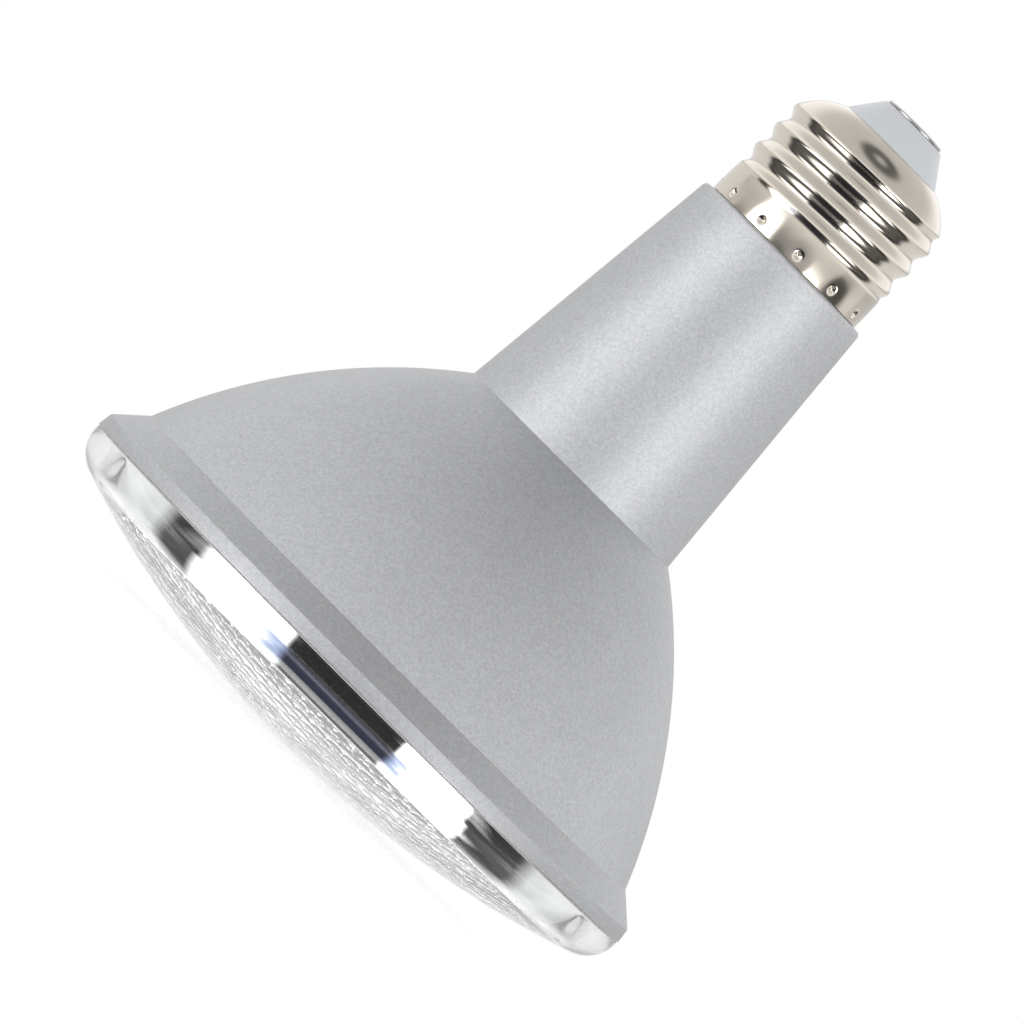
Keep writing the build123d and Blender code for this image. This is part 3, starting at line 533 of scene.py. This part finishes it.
cup_inside = bulge(CUP_FOOT, CUP_MOUTH, CUP_ARC, steps=40)
band = rounded(
    [
        (*CUP_MOUTH, 0),
        (BAND_TIP, BAND_FOOT, BAND_EDGE),
        (BAND_OUTER - BAND_LEAN, BAND_FOOT, BAND_EDGE),
        (BAND_OUTER, BAND_WAIST, WAIST_EDGE),
        (BAND_OUTER, FLANGE, 0),
    ]
)
flange = [(reflector_high.x, FLANGE), (reflector_high.x, FLANGE_TOP)]
cup_outside = bulge(BACK_MOUTH, BACK_FOOT, BACK_ARC, steps=24)
foot = [(BACK_FOOT[0], reflector_high.z), (CUP_FOOT[0], reflector_high.z), CUP_FOOT]
reflector = lathe("mirrored_reflector", cup_inside + band[1:] + flange + cup_outside + foot)
finish_piece(reflector, mirror, "reflector", smooth=25)

# %% [markdown]
# ## Clear lens
#
# The lens is moulded in clear polycarbonate: a shallow dome with a rounded corner, a short upright side, and
# a spigot that centres it in the rim. The plastic is perfectly clear, so it shows by what it bends. A glass
# shader on a single skin would not bend light as a wall does, so the lens is one closed wall, and only a very
# slight sink from the moulding is added as bump.

# %% Clear polycarbonate
SINK = 8 * MM

clear_lens, tree, shader, where = new_material("clear_polycarbonate")
draw = add(tree, "ShaderNodeTexNoise", {"Vector": where, "Scale": 1 / SINK, "Detail": 1.0})
sunk = add(
    tree,
    "ShaderNodeBump",
    {"Height": draw.outputs["Fac"], "Strength": 0.05, "Distance": 0.03 * MM},
)
tree.links.new(sunk.outputs["Normal"], shader.inputs["Normal"])
shader.inputs["Base Color"].default_value = linear("#FEFFFF")
shader.inputs["Transmission Weight"].default_value = 1.0
shader.inputs["Roughness"].default_value = 0.0
shader.inputs["IOR"].default_value = 1.585
print("polycarbonate: index", round(shader.inputs["IOR"].default_value, 3))

# %% [markdown]
# ## Lenslets
#
# The outside of the lens is smooth. Its inside carries a field of small round lenslets, packed like
# honeycomb, that spread the beam and show as rows of small dashes. A bump could only hint at them; here they
# are real shapes, because light passes through them. A pair of lenslets is modelled, repeated with two
# arrays, trimmed to a circle and laid on a dome that is slightly flatter than the outside of the lens.

# %% One pair of lenslets, repeated
LENSLET_PITCH, LENSLET_RADIUS, FIELD_RADIUS, CELL_SEAM = 2.8, 6.5, 41.55, 0.02 * MM
cell = LENSLET_PITCH / math.sqrt(3)
beside = (1.5 * cell, LENSLET_PITCH / 2)

deselect()
bpy.ops.mesh.primitive_circle_add(vertices=6, radius=cell * MM, fill_type="TRIFAN")
lenslets = bpy.context.active_object
lenslets.name = lenslets.data.name = "lenslet_field"
bpy.ops.object.mode_set(mode="EDIT")
bpy.ops.mesh.select_all(action="SELECT")
bpy.ops.mesh.subdivide(number_cuts=3)
bpy.ops.mesh.duplicate_move(TRANSFORM_OT_translate={"value": (beside[0] * MM, beside[1] * MM, 0)})
bpy.ops.object.mode_set(mode="OBJECT")
half = len(lenslets.data.vertices) // 2
for vertex in lenslets.data.vertices:
    centre = Vector((0, 0)) if vertex.index < half else Vector(beside)
    out = (vertex.co.xy / MM - centre).length
    vertex.co.z = (math.sqrt(LENSLET_RADIUS**2 - out**2) - math.sqrt(LENSLET_RADIUS**2 - cell**2)) * MM
columns = math.ceil(2 * FIELD_RADIUS / (3 * cell)) + 1
lines = math.ceil(2 * FIELD_RADIUS / LENSLET_PITCH) + 1
for count, offset in ((columns, (3 * cell * MM, 0, 0)), (lines, (0, LENSLET_PITCH * MM, 0))):
    array = lenslets.modifiers.new("repeat", "ARRAY")
    array.use_relative_offset = False
    array.use_constant_offset = True
    array.constant_offset_displace = offset
    array.count = count
    array.use_merge_vertices = True
    array.merge_threshold = CELL_SEAM
    bpy.ops.object.modifier_apply(modifier=array.name)
print("lenslets:", 2 * columns * lines, "cells,", len(lenslets.data.polygons), "faces before trimming")

# %% Trim the field to a circle
EDGE_SEAM, SLIVER = 0.05 * MM, 0.01 * MM

shift = Vector((-(3 * cell * (columns - 1) + 1.5 * cell) / 2, -(LENSLET_PITCH * (lines - 0.5)) / 2, 0)) * MM
bpy.ops.object.mode_set(mode="EDIT")
bpy.ops.mesh.select_all(action="SELECT")
bpy.ops.mesh.remove_doubles(threshold=CELL_SEAM)
bpy.ops.transform.translate(value=shift)
bpy.ops.transform.rotate(value=math.pi / 2, orient_axis="Z", center_override=(0, 0, 0))
bpy.ops.mesh.select_all(action="DESELECT")
bpy.ops.object.mode_set(mode="OBJECT")
for face in lenslets.data.polygons:
    face.select = min(lenslets.data.vertices[i].co.xy.length for i in face.vertices) > FIELD_RADIUS * MM
bpy.ops.object.mode_set(mode="EDIT")
bpy.ops.mesh.delete(type="FACE")
bpy.ops.object.mode_set(mode="OBJECT")
for vertex in lenslets.data.vertices:
    out = vertex.co.xy.length
    if out > FIELD_RADIUS * MM:
        vertex.co.x *= FIELD_RADIUS * MM / out
        vertex.co.y *= FIELD_RADIUS * MM / out
bpy.ops.object.mode_set(mode="EDIT")
bpy.ops.mesh.select_all(action="SELECT")
bpy.ops.mesh.remove_doubles(threshold=EDGE_SEAM)
bpy.ops.mesh.dissolve_degenerate(threshold=SLIVER)
bpy.ops.object.mode_set(mode="OBJECT")
print("lenslets:", len(lenslets.data.polygons), "faces in a circle of", FIELD_RADIUS, "mm")

# %% Lay the field on the dome
DOME, DOME_INNER, FIELD_DOME = 138.0, 136.2, 160.0


def dome_inside(radius):
    """Height of the lenslet field at a radius: a flatter dome that meets the body at the field's edge."""
    foot = DOME - math.sqrt(DOME_INNER**2 - FIELD_RADIUS**2)
    return foot - math.sqrt(FIELD_DOME**2 - radius**2) + math.sqrt(FIELD_DOME**2 - FIELD_RADIUS**2)


for vertex in lenslets.data.vertices:
    vertex.co.z += dome_inside(vertex.co.xy.length / MM) * MM
print("field: from", round(dome_inside(0), 2), "to", round(dome_inside(FIELD_RADIUS), 2), "mm high")

# %% [markdown]
# ## Lens body
#
# The body is turned as an open outline: over the smooth outside, round the spigot, and back inside as far as
# the field. Field and body are then joined, and their two open edges are bridged. A boolean would do the same
# with many slivers; a bridge keeps the wall clean and closed, and the cell counts the edges still open.

# %% Lens body, joined to the field
LENS_RADIUS, SPIGOT, JOINT, SPIGOT_TOP, LENS_INNER = 47.4, 45.9, 12.24, 13.14, 45.0
CORNER, CORNER_OUTER, CORNER_INNER = (42.4, 11.94), 5.0, 4.2
EDGE_GAP = 0.3
BODY_EDGE = FIELD_RADIUS + EDGE_GAP

tangent = math.degrees(math.asin(CORNER[0] / (DOME - CORNER_OUTER)))
dome_outside = arc((0, DOME), DOME, -90, -90 + tangent, steps=48)
corner_outside = arc(CORNER, CORNER_OUTER, -90 + tangent, 0, steps=16)
edge = [(LENS_RADIUS, JOINT), (SPIGOT, JOINT), (SPIGOT, SPIGOT_TOP), (LENS_INNER, SPIGOT_TOP)]
across = LENS_INNER - CORNER_INNER
inner_corner = (across, DOME - math.sqrt((DOME_INNER - CORNER_INNER) ** 2 - across**2))
inner_tangent = math.degrees(math.asin(across / (DOME_INNER - CORNER_INNER)))
corner_inside = arc(inner_corner, CORNER_INNER, 0, -90 + inner_tangent, steps=14)
edge_angle = math.degrees(math.asin(BODY_EDGE / DOME_INNER))
dome_edge = arc((0, DOME), DOME_INNER, -90 + inner_tangent, -90 + edge_angle, steps=3)
body_outline = dome_outside + corner_outside[1:] + edge + corner_inside + dome_edge[1:]
lens = lathe("clear_lens", body_outline, steps=240)
deselect()
lenslets.select_set(True)
lens.select_set(True)
bpy.context.view_layer.objects.active = lens
bpy.ops.object.join()
bpy.ops.object.mode_set(mode="EDIT")
bpy.ops.mesh.select_all(action="DESELECT")
bpy.ops.mesh.select_non_manifold(
    extend=False, use_wire=False, use_multi_face=False, use_non_contiguous=False, use_verts=False
)
bpy.ops.mesh.bridge_edge_loops()
bpy.ops.mesh.select_all(action="SELECT")
bpy.ops.mesh.normals_make_consistent(inside=False)
bpy.ops.mesh.select_all(action="DESELECT")
bpy.ops.mesh.select_non_manifold(extend=False)
bpy.ops.object.mode_set(mode="OBJECT")
print("lens: open edges left", sum(e.select for e in lens.data.edges))
finish_piece(lens, clear_lens, "lens", smooth=35)

# %% [markdown]
# ## Inner parts
#
# Behind the lens sit the LED board and, in the neck, the driver. They could be modelled anew, but their CAD
# shapes are right, so they keep them and only get their real materials: a colour, a fine mottle of the right
# size and the gloss of the stuff. One function makes these, since they differ only in such values.

# %% Materials of the inner parts
def inner_finish(name, colour, other, grain, roughness, metallic=0.0, relief=0.02):
    """A material with two close colours in a mottle of a grain size and a relief in millimetres."""
    material, tree, shader, where = new_material(name)
    mottle = add(tree, "ShaderNodeTexNoise", {"Vector": where, "Scale": 1 / (grain * MM), "Detail": 4.0})
    tone = add(
        tree,
        "ShaderNodeMix",
        {"Factor": mottle.outputs["Fac"], "A": linear(colour), "B": linear(other)},
        data_type="RGBA",
    )
    tree.links.new(tone.outputs["Result"], shader.inputs["Base Color"])
    bump = add(
        tree,
        "ShaderNodeBump",
        {"Height": mottle.outputs["Fac"], "Strength": 0.3, "Distance": relief * MM},
    )
    tree.links.new(bump.outputs["Normal"], shader.inputs["Normal"])
    shader.inputs["Roughness"].default_value = roughness
    shader.inputs["Metallic"].default_value = metallic
    return material


inner_materials = {
    "led_board": inner_finish("white_solder_mask", "#EDEEEA", "#F3F4F1", 1.2, 0.35),
    "led_packages": inner_finish("white_led_package", "#E9E8E2", "#F1F0EB", 0.4, 0.4),
    "led_phosphors": inner_finish("yellow_phosphor", "#E8C24A", "#F0D060", 0.15, 0.5),
    "board_screws": inner_finish("zinc_plated_steel", "#B4B7BC", "#C9CBCE", 0.6, 0.3, metallic=1.0),
    "solder_joints": inner_finish("solder", "#B9BABC", "#CFD0D1", 0.5, 0.25, metallic=1.0, relief=0.05),
    "thermal_pad": inner_finish("thermal_pad", "#8C97A3", "#98A2AD", 0.5, 0.8),
    "heat_spreader": inner_finish("bare_aluminium", "#C3C5C8", "#D2D4D6", 1.5, 0.32, metallic=1.0),
    "insulating_disc": inner_finish("white_insulating_sheet", "#D9D8D2", "#E2E1DC", 1.0, 0.55),
    "driver_sleeve": inner_finish("white_driver_sleeve", "#DADAD6", "#E4E4E0", 1.5, 0.5),
    "driver_board": inner_finish("glass_epoxy_board", "#2E6B3F", "#3A7A4A", 0.6, 0.4),
    "input_capacitor": inner_finish("black_can_sleeve", "#1D2024", "#2A2D31", 1.0, 0.35),
    "output_capacitor": inner_finish("blue_can_sleeve", "#22385E", "#2C4670", 1.0, 0.35),
    "input_choke": inner_finish("shrink_sleeve", "#15171A", "#222428", 0.8, 0.45),
    "transformer_core": inner_finish("ferrite", "#2F2E2D", "#403E3C", 0.3, 0.7, relief=0.05),
    "transformer_bobbin": inner_finish("black_bobbin_nylon", "#1E1E1F", "#29292A", 0.6, 0.5),
    "transformer_winding": inner_finish("yellow_winding_tape", "#D9B430", "#E3C24A", 1.2, 0.4),
    "fuse": inner_finish("brown_fuse_case", "#4A2F22", "#5A3B2B", 0.6, 0.45),
    "bridge_rectifier": inner_finish("black_epoxy_package", "#202123", "#2B2C2E", 0.3, 0.6),
    "driver_chip": inner_finish("black_chip_package", "#1C1D1F", "#27282A", 0.3, 0.6),
    "output_diode": inner_finish("black_diode_package", "#212224", "#2C2D2F", 0.3, 0.6),
    "live_lead": inner_finish("red_lead_insulation", "#A8261F", "#B6332B", 0.8, 0.4),
    "neutral_lead": inner_finish("tinned_copper_wire", "#B9B4AC", "#CBC6BE", 0.5, 0.3, metallic=1.0),
    "led_leads": inner_finish("white_lead_insulation", "#DCDCDA", "#E6E6E4", 0.8, 0.4),
}
for name, material in inner_materials.items():
    nodes[name].data.materials.clear()
    nodes[name].data.materials.append(material)
print("inner parts given a material:", len(inner_materials))

# %% [markdown]
# ## Lens gasket
#
# A ring of pale silicone seals the joint between lens and rim. The CAD's ring stands back in the joint, as it
# does before it is squeezed. A new ring is turned, nearly flush, so that the joint reads as a pale line and
# not as a dark slot.

# %% Lens gasket
GASKET_RADIUS, GASKET_PLAY, GASKET_EDGE = 47.3, 0.01, 0.05

gasket_outline = rounded(
    [
        (RIM_BORE, JOINT + GASKET_PLAY, 0),
        (GASKET_RADIUS, JOINT + GASKET_PLAY, GASKET_EDGE),
        (GASKET_RADIUS, RIM_BOTTOM - GASKET_PLAY, GASKET_EDGE),
        (RIM_BORE, RIM_BOTTOM - GASKET_PLAY, 0),
        (RIM_BORE, JOINT + GASKET_PLAY, 0),
    ]
)
gasket = lathe("squeezed_gasket", gasket_outline)
pale_silicone = inner_finish("pale_silicone", "#F0F0EF", "#F6F6F5", 0.8, 0.6)
finish_piece(gasket, pale_silicone, "lens_gasket")

# %% [markdown]
# ## Floor
#
# The lamp stands on a pale floor. The camera sees it almost edge on, so it shows as a white ground with the
# lamp's shadow pressed into a thin line. A little light of its own, for the camera only, brings it up to the
# white of the background. Mirrored and refracted rays pass through it, because polished metal and a clear
# lens should show the whole studio and not a sheet of floor.

# %% Floor
FLOOR_RADIUS, FLOOR_DROP, FLOOR_GLOW, SPECK = 150 * MM, 0.02 * MM, 0.9, 4 * MM

deselect()
bpy.ops.mesh.primitive_circle_add(
    vertices=96, radius=FLOOR_RADIUS, fill_type="NGON", location=(0, 0, -FLOOR_DROP)
)
floor = bpy.context.active_object
floor.name = "pale_floor"
bpy.ops.object.transform_apply(location=True)
pale_floor, tree, shader, where = new_material("pale_matt_floor")
speck = add(tree, "ShaderNodeTexNoise", {"Vector": where, "Scale": 1 / SPECK, "Detail": 2.0})
ground = add(
    tree,
    "ShaderNodeMix",
    {"Factor": speck.outputs["Fac"], "A": linear("#A0A0A0"), "B": linear("#A6A6A6")},
    data_type="RGBA",
)
tree.links.new(ground.outputs["Result"], shader.inputs["Base Color"])
path = add(tree, "ShaderNodeLightPath")
mirrored = add(
    tree,
    "ShaderNodeMath",
    {0: path.outputs["Is Glossy Ray"], 1: path.outputs["Is Transmission Ray"]},
    operation="MAXIMUM",
)
glow = add(
    tree,
    "ShaderNodeMath",
    {0: path.outputs["Is Camera Ray"], 1: FLOOR_GLOW},
    operation="MULTIPLY",
)
tree.links.new(glow.outputs["Value"], shader.inputs["Emission Strength"])
shader.inputs["Emission Color"].default_value = (1, 1, 1, 1)
shader.inputs["Roughness"].default_value = 1.0
shader.inputs["Specular IOR Level"].default_value = 0.0
clear = add(tree, "ShaderNodeBsdfTransparent")
surface = add(
    tree,
    "ShaderNodeMixShader",
    {0: mirrored.outputs["Value"], 1: shader.outputs["BSDF"], 2: clear.outputs["BSDF"]},
)
tree.links.new(surface.outputs["Shader"], tree.nodes["Material Output"].inputs["Surface"])
floor.data.materials.append(pale_floor)
print("floor:", round(2 * FLOOR_RADIUS / MM), "mm across")

# %% [markdown]
# ## Studio light
#
# Polished metal shows its surroundings, so the light is chosen for what the cap and the skirt should show.
# Lamps and cards could be placed round the bulb; painting the world by direction is chosen because each edge
# of a reflection can then be put where it is wanted, and it adds no objects. A softbox lies low in front on
# each side of the camera, both leaned down, with a dark gap between them where the camera stands, a bluish
# fringe beside the gap, a dark shelf under the camera and a dark edge beyond each softbox. Over the
# softboxes, with a slanted edge, is the ceiling: a bright strip above the horizon and a dark ring round the
# zenith. The walls behind and the ground are pale. The camera itself sees plain white.

# %% Brightness by direction
# Degrees round the lamp, 0 towards the camera and positive to its right, and the brightness there.
WALLS = [
    (-180, 0.88), (-97, 0.9), (-89, 0.06), (-74, 0.03), (-67, 3.1), (0, 3.1),
    (1, 6.6), (57, 6.6), (63, 0.03), (88, 0.06), (97, 0.9), (180, 0.88),
]
# Degrees above the horizon, and the brightness of ceiling and ground.
SKY = [
    (-90, 1.7), (-66, 1.6), (-61, 0.35), (-48, 0.35), (-43, 1.7), (-24, 1.6), (-8, 0.85), (5, 0.62),
    (14, 1.25), (28, 1.15), (40, 0.8), (60, 0.72), (70, 0.7), (76, 0.14), (83, 0.14), (87, 0.6), (90, 0.65),
]
# Degrees above the horizon, and the brightness or colour of the gap between the softboxes.
GAP_BLACK, GAP_BLUE, GAP_GREY = 0.028, (0.05, 0.05, 0.08), 0.33
GAP = [
    (-90, GAP_BLACK), (-23, GAP_BLACK), (-19, GAP_BLUE), (-12, GAP_BLUE),
    (-9, GAP_BLACK), (-4, GAP_BLACK), (0, GAP_GREY), (90, GAP_GREY),
]
# Degrees above the horizon, and the share of the bluish fringe beside the gap.
FRINGE = [(-90, 0), (-23, 0), (-19, 1), (-12, 1), (-9, 0), (90, 0)]
# Degrees above the horizon, and the share of the softboxes that the shelf below the camera hides.
SHELF = [(-90, 0), (-60, 0), (-52, 1), (-27, 1), (-22, 0), (90, 0)]
# The colours of fringe and shelf are shares of the brightest light.
BRIGHTEST, FRINGE_COLOUR, SHELF_COLOUR = 6.6, (0.06, 0.075, 0.12, 1), (0.02, 0.02, 0.02, 1)
print("studio: softboxes", WALLS[5][1], "and", WALLS[6][1])

# %% Directions in the world
LEAN = 35  # degrees that the softboxes are leaned down in front

world = bpy.data.worlds.new("studio")
bpy.context.scene.world = world
world.use_nodes = True
tree = world.node_tree
tree.nodes.clear()
look = add(tree, "ShaderNodeTexCoord").outputs["Generated"]
split = add(tree, "ShaderNodeSeparateXYZ", {"Vector": look})
height = add(tree, "ShaderNodeMath", {0: split.outputs["Z"]}, operation="ARCSINE")
level = add(
    tree,
    "ShaderNodeMapRange",
    {"Value": height.outputs["Value"], "From Min": -math.pi / 2, "From Max": math.pi / 2},
)
lean = add(
    tree,
    "ShaderNodeVectorRotate",
    {"Vector": look, "Rotation": (math.radians(-LEAN), 0, 0)},
    rotation_type="EULER_XYZ",
)
leaned = add(tree, "ShaderNodeSeparateXYZ", {"Vector": lean.outputs["Vector"]})
ahead = add(tree, "ShaderNodeMath", {0: leaned.outputs["Y"], 1: -1.0}, operation="MULTIPLY")
azimuth = add(
    tree,
    "ShaderNodeMath",
    {0: leaned.outputs["X"], 1: ahead.outputs["Value"]},
    operation="ARCTAN2",
)
share = add(
    tree,
    "ShaderNodeMapRange",
    {"Value": azimuth.outputs["Value"], "From Min": -math.pi, "From Max": math.pi},
)
rise = add(tree, "ShaderNodeMath", {0: leaned.outputs["Z"]}, operation="ARCSINE")
side = add(tree, "ShaderNodeMath", {0: split.outputs["X"]}, operation="ABSOLUTE")
print("world: directions from", len(tree.nodes), "nodes")

# %% Ramps
# The direction that each ramp follows, its stops, the degrees at its ends, and the value that counts as 1.
painted = {}
for name, along, stops, reach, full in (
    ("walls", share, WALLS, 180, BRIGHTEST),
    ("sky", level, SKY, 90, BRIGHTEST),
    ("gap", level, GAP, 90, BRIGHTEST),
    ("shelf", level, SHELF, 90, 1),
    ("fringe", level, FRINGE, 90, 1),
):
    ramp = add(tree, "ShaderNodeValToRGB", {"Fac": along.outputs["Result"]})
    elements = ramp.color_ramp.elements
    while len(elements) < len(stops):
        elements.new(0.5)
    for stop, (degrees, brightness) in zip(elements, stops):
        stop.position = (degrees + reach) / (2 * reach)
        colour = brightness if isinstance(brightness, tuple) else (brightness,) * 3
        stop.color = (*(part / full for part in colour), 1)
    painted[name] = ramp.outputs["Color"]
print("world: ramps", ", ".join(painted))

# %% Soft edges
# The gap narrows towards the ground, and the top edge of the softboxes slants up to the left.
GAP_TAPER, TOP_SLANT, TOP_START, TOP_END = -0.18, 0.12, -0.02, 0.1
LOW_START, LOW_END = math.radians(-52), math.radians(-60)

narrow = add(
    tree,
    "ShaderNodeMath",
    {0: split.outputs["Z"], 1: GAP_TAPER, 2: side.outputs["Value"]},
    operation="MULTIPLY_ADD",
)
slant = add(
    tree,
    "ShaderNodeMath",
    {0: split.outputs["X"], 1: TOP_SLANT, 2: split.outputs["Z"]},
    operation="MULTIPLY_ADD",
)
# The value that each edge follows, where it starts and ends, and how high it rises. The two cards raise the
# top edge far out on the right and lower it far out on the left.
edges = {}
for name, value, start, end, top in (
    ("front", ahead.outputs["Value"], 0.05, 0.2, 1.0),
    ("gap", narrow.outputs["Value"], 0.52, 0.45, 1.0),
    ("fringe", side.outputs["Value"], 0.76, 0.5, 1.0),
    ("right card", split.outputs["X"], 0.84, 0.93, -0.17),
    ("left card", split.outputs["X"], -0.9, -0.95, 0.18),
    ("low", rise.outputs["Value"], LOW_START, LOW_END, 1.0),
):
    soft = add(
        tree,
        "ShaderNodeMapRange",
        {"Value": value, "From Min": start, "From Max": end, "To Max": top},
        interpolation_type="SMOOTHSTEP",
    )
    edges[name] = soft.outputs["Result"]
for card in ("right card", "left card"):
    slant = add(tree, "ShaderNodeMath", {0: slant.outputs["Value"], 1: edges[card]}, operation="ADD")
above = add(
    tree,
    "ShaderNodeMapRange",
    {"Value": slant.outputs["Value"], "From Min": TOP_START, "From Max": TOP_END},
    interpolation_type="SMOOTHSTEP",
)
print("world: soft edges", ", ".join(edges))

# %% Lay the studio together
# Gap, shelf and fringe lie in front only. The fringe also keeps to its own stretch of height.
masks = {}
for name, one, other in (
    ("gap", edges["gap"], edges["front"]),
    ("shelf", painted["shelf"], edges["front"]),
    ("near", edges["fringe"], edges["front"]),
):
    both = add(tree, "ShaderNodeMath", {0: one, 1: other}, operation="MULTIPLY")
    masks[name] = both.outputs["Value"]
blue = add(tree, "ShaderNodeMath", {0: painted["fringe"], 1: masks["near"]}, operation="MULTIPLY")
room = painted["walls"]
for cover, colour in (
    (masks["shelf"], SHELF_COLOUR),
    (blue.outputs["Value"], FRINGE_COLOUR),
    (masks["gap"], painted["gap"]),
    (above.outputs["Result"], painted["sky"]),
    (edges["low"], painted["sky"]),
):
    laid = add(tree, "ShaderNodeMix", {"Factor": cover, "A": room, "B": colour}, data_type="RGBA")
    room = laid.outputs["Result"]
studio = add(tree, "ShaderNodeBackground", {"Color": room, "Strength": BRIGHTEST})
white = add(tree, "ShaderNodeBackground", {"Color": (1, 1, 1, 1), "Strength": 1.0})
eye = add(tree, "ShaderNodeLightPath")
choice = add(
    tree,
    "ShaderNodeMixShader",
    {0: eye.outputs["Is Camera Ray"], 1: studio.outputs["Background"], 2: white.outputs["Background"]},
)
add(tree, "ShaderNodeOutputWorld", {"Surface": choice.outputs["Shader"]})
print("world nodes:", len(tree.nodes))

# %% [markdown]
# ## Camera
#
# The picture is a long-lens view straight at the side of the lamp, with the camera rolled by 45 degrees so
# that the cap points to the upper right. Turning the lamp would give the same picture, but it stands where
# the CAD has it, so the camera is rolled. A lens of about 560 mm on a 36 mm sensor keeps the rim almost flat.

# %% Camera
AIM = Vector((-1.58, 0, 42.1)) * MM
STAND = Vector((-1.58, -2066, 51.1)) * MM
SENSOR, FOCAL, ROLL, FAR = 36, 561.2, 45, 50
camera = bpy.data.objects.new("camera", bpy.data.cameras.new("camera"))
bpy.context.scene.collection.objects.link(camera)
camera.data.sensor_width = SENSOR
camera.data.lens = FOCAL
camera.data.clip_end = FAR
camera.location = STAND
aimed = (AIM - STAND).to_track_quat("-Z", "Y")
camera.rotation_mode = "QUATERNION"
camera.rotation_quaternion = aimed @ Quaternion((0, 0, 1), math.radians(ROLL))
bpy.context.scene.camera = camera
print("camera", round((AIM - STAND).length, 3), "m away")

# %% [markdown]
# ## Colours as written
#
# The Standard view shows each colour as it was written, where a film-like view would fade the whites.

# %% Colour management
bpy.context.scene.view_settings.view_transform = "Standard"
bpy.context.view_layer.update()
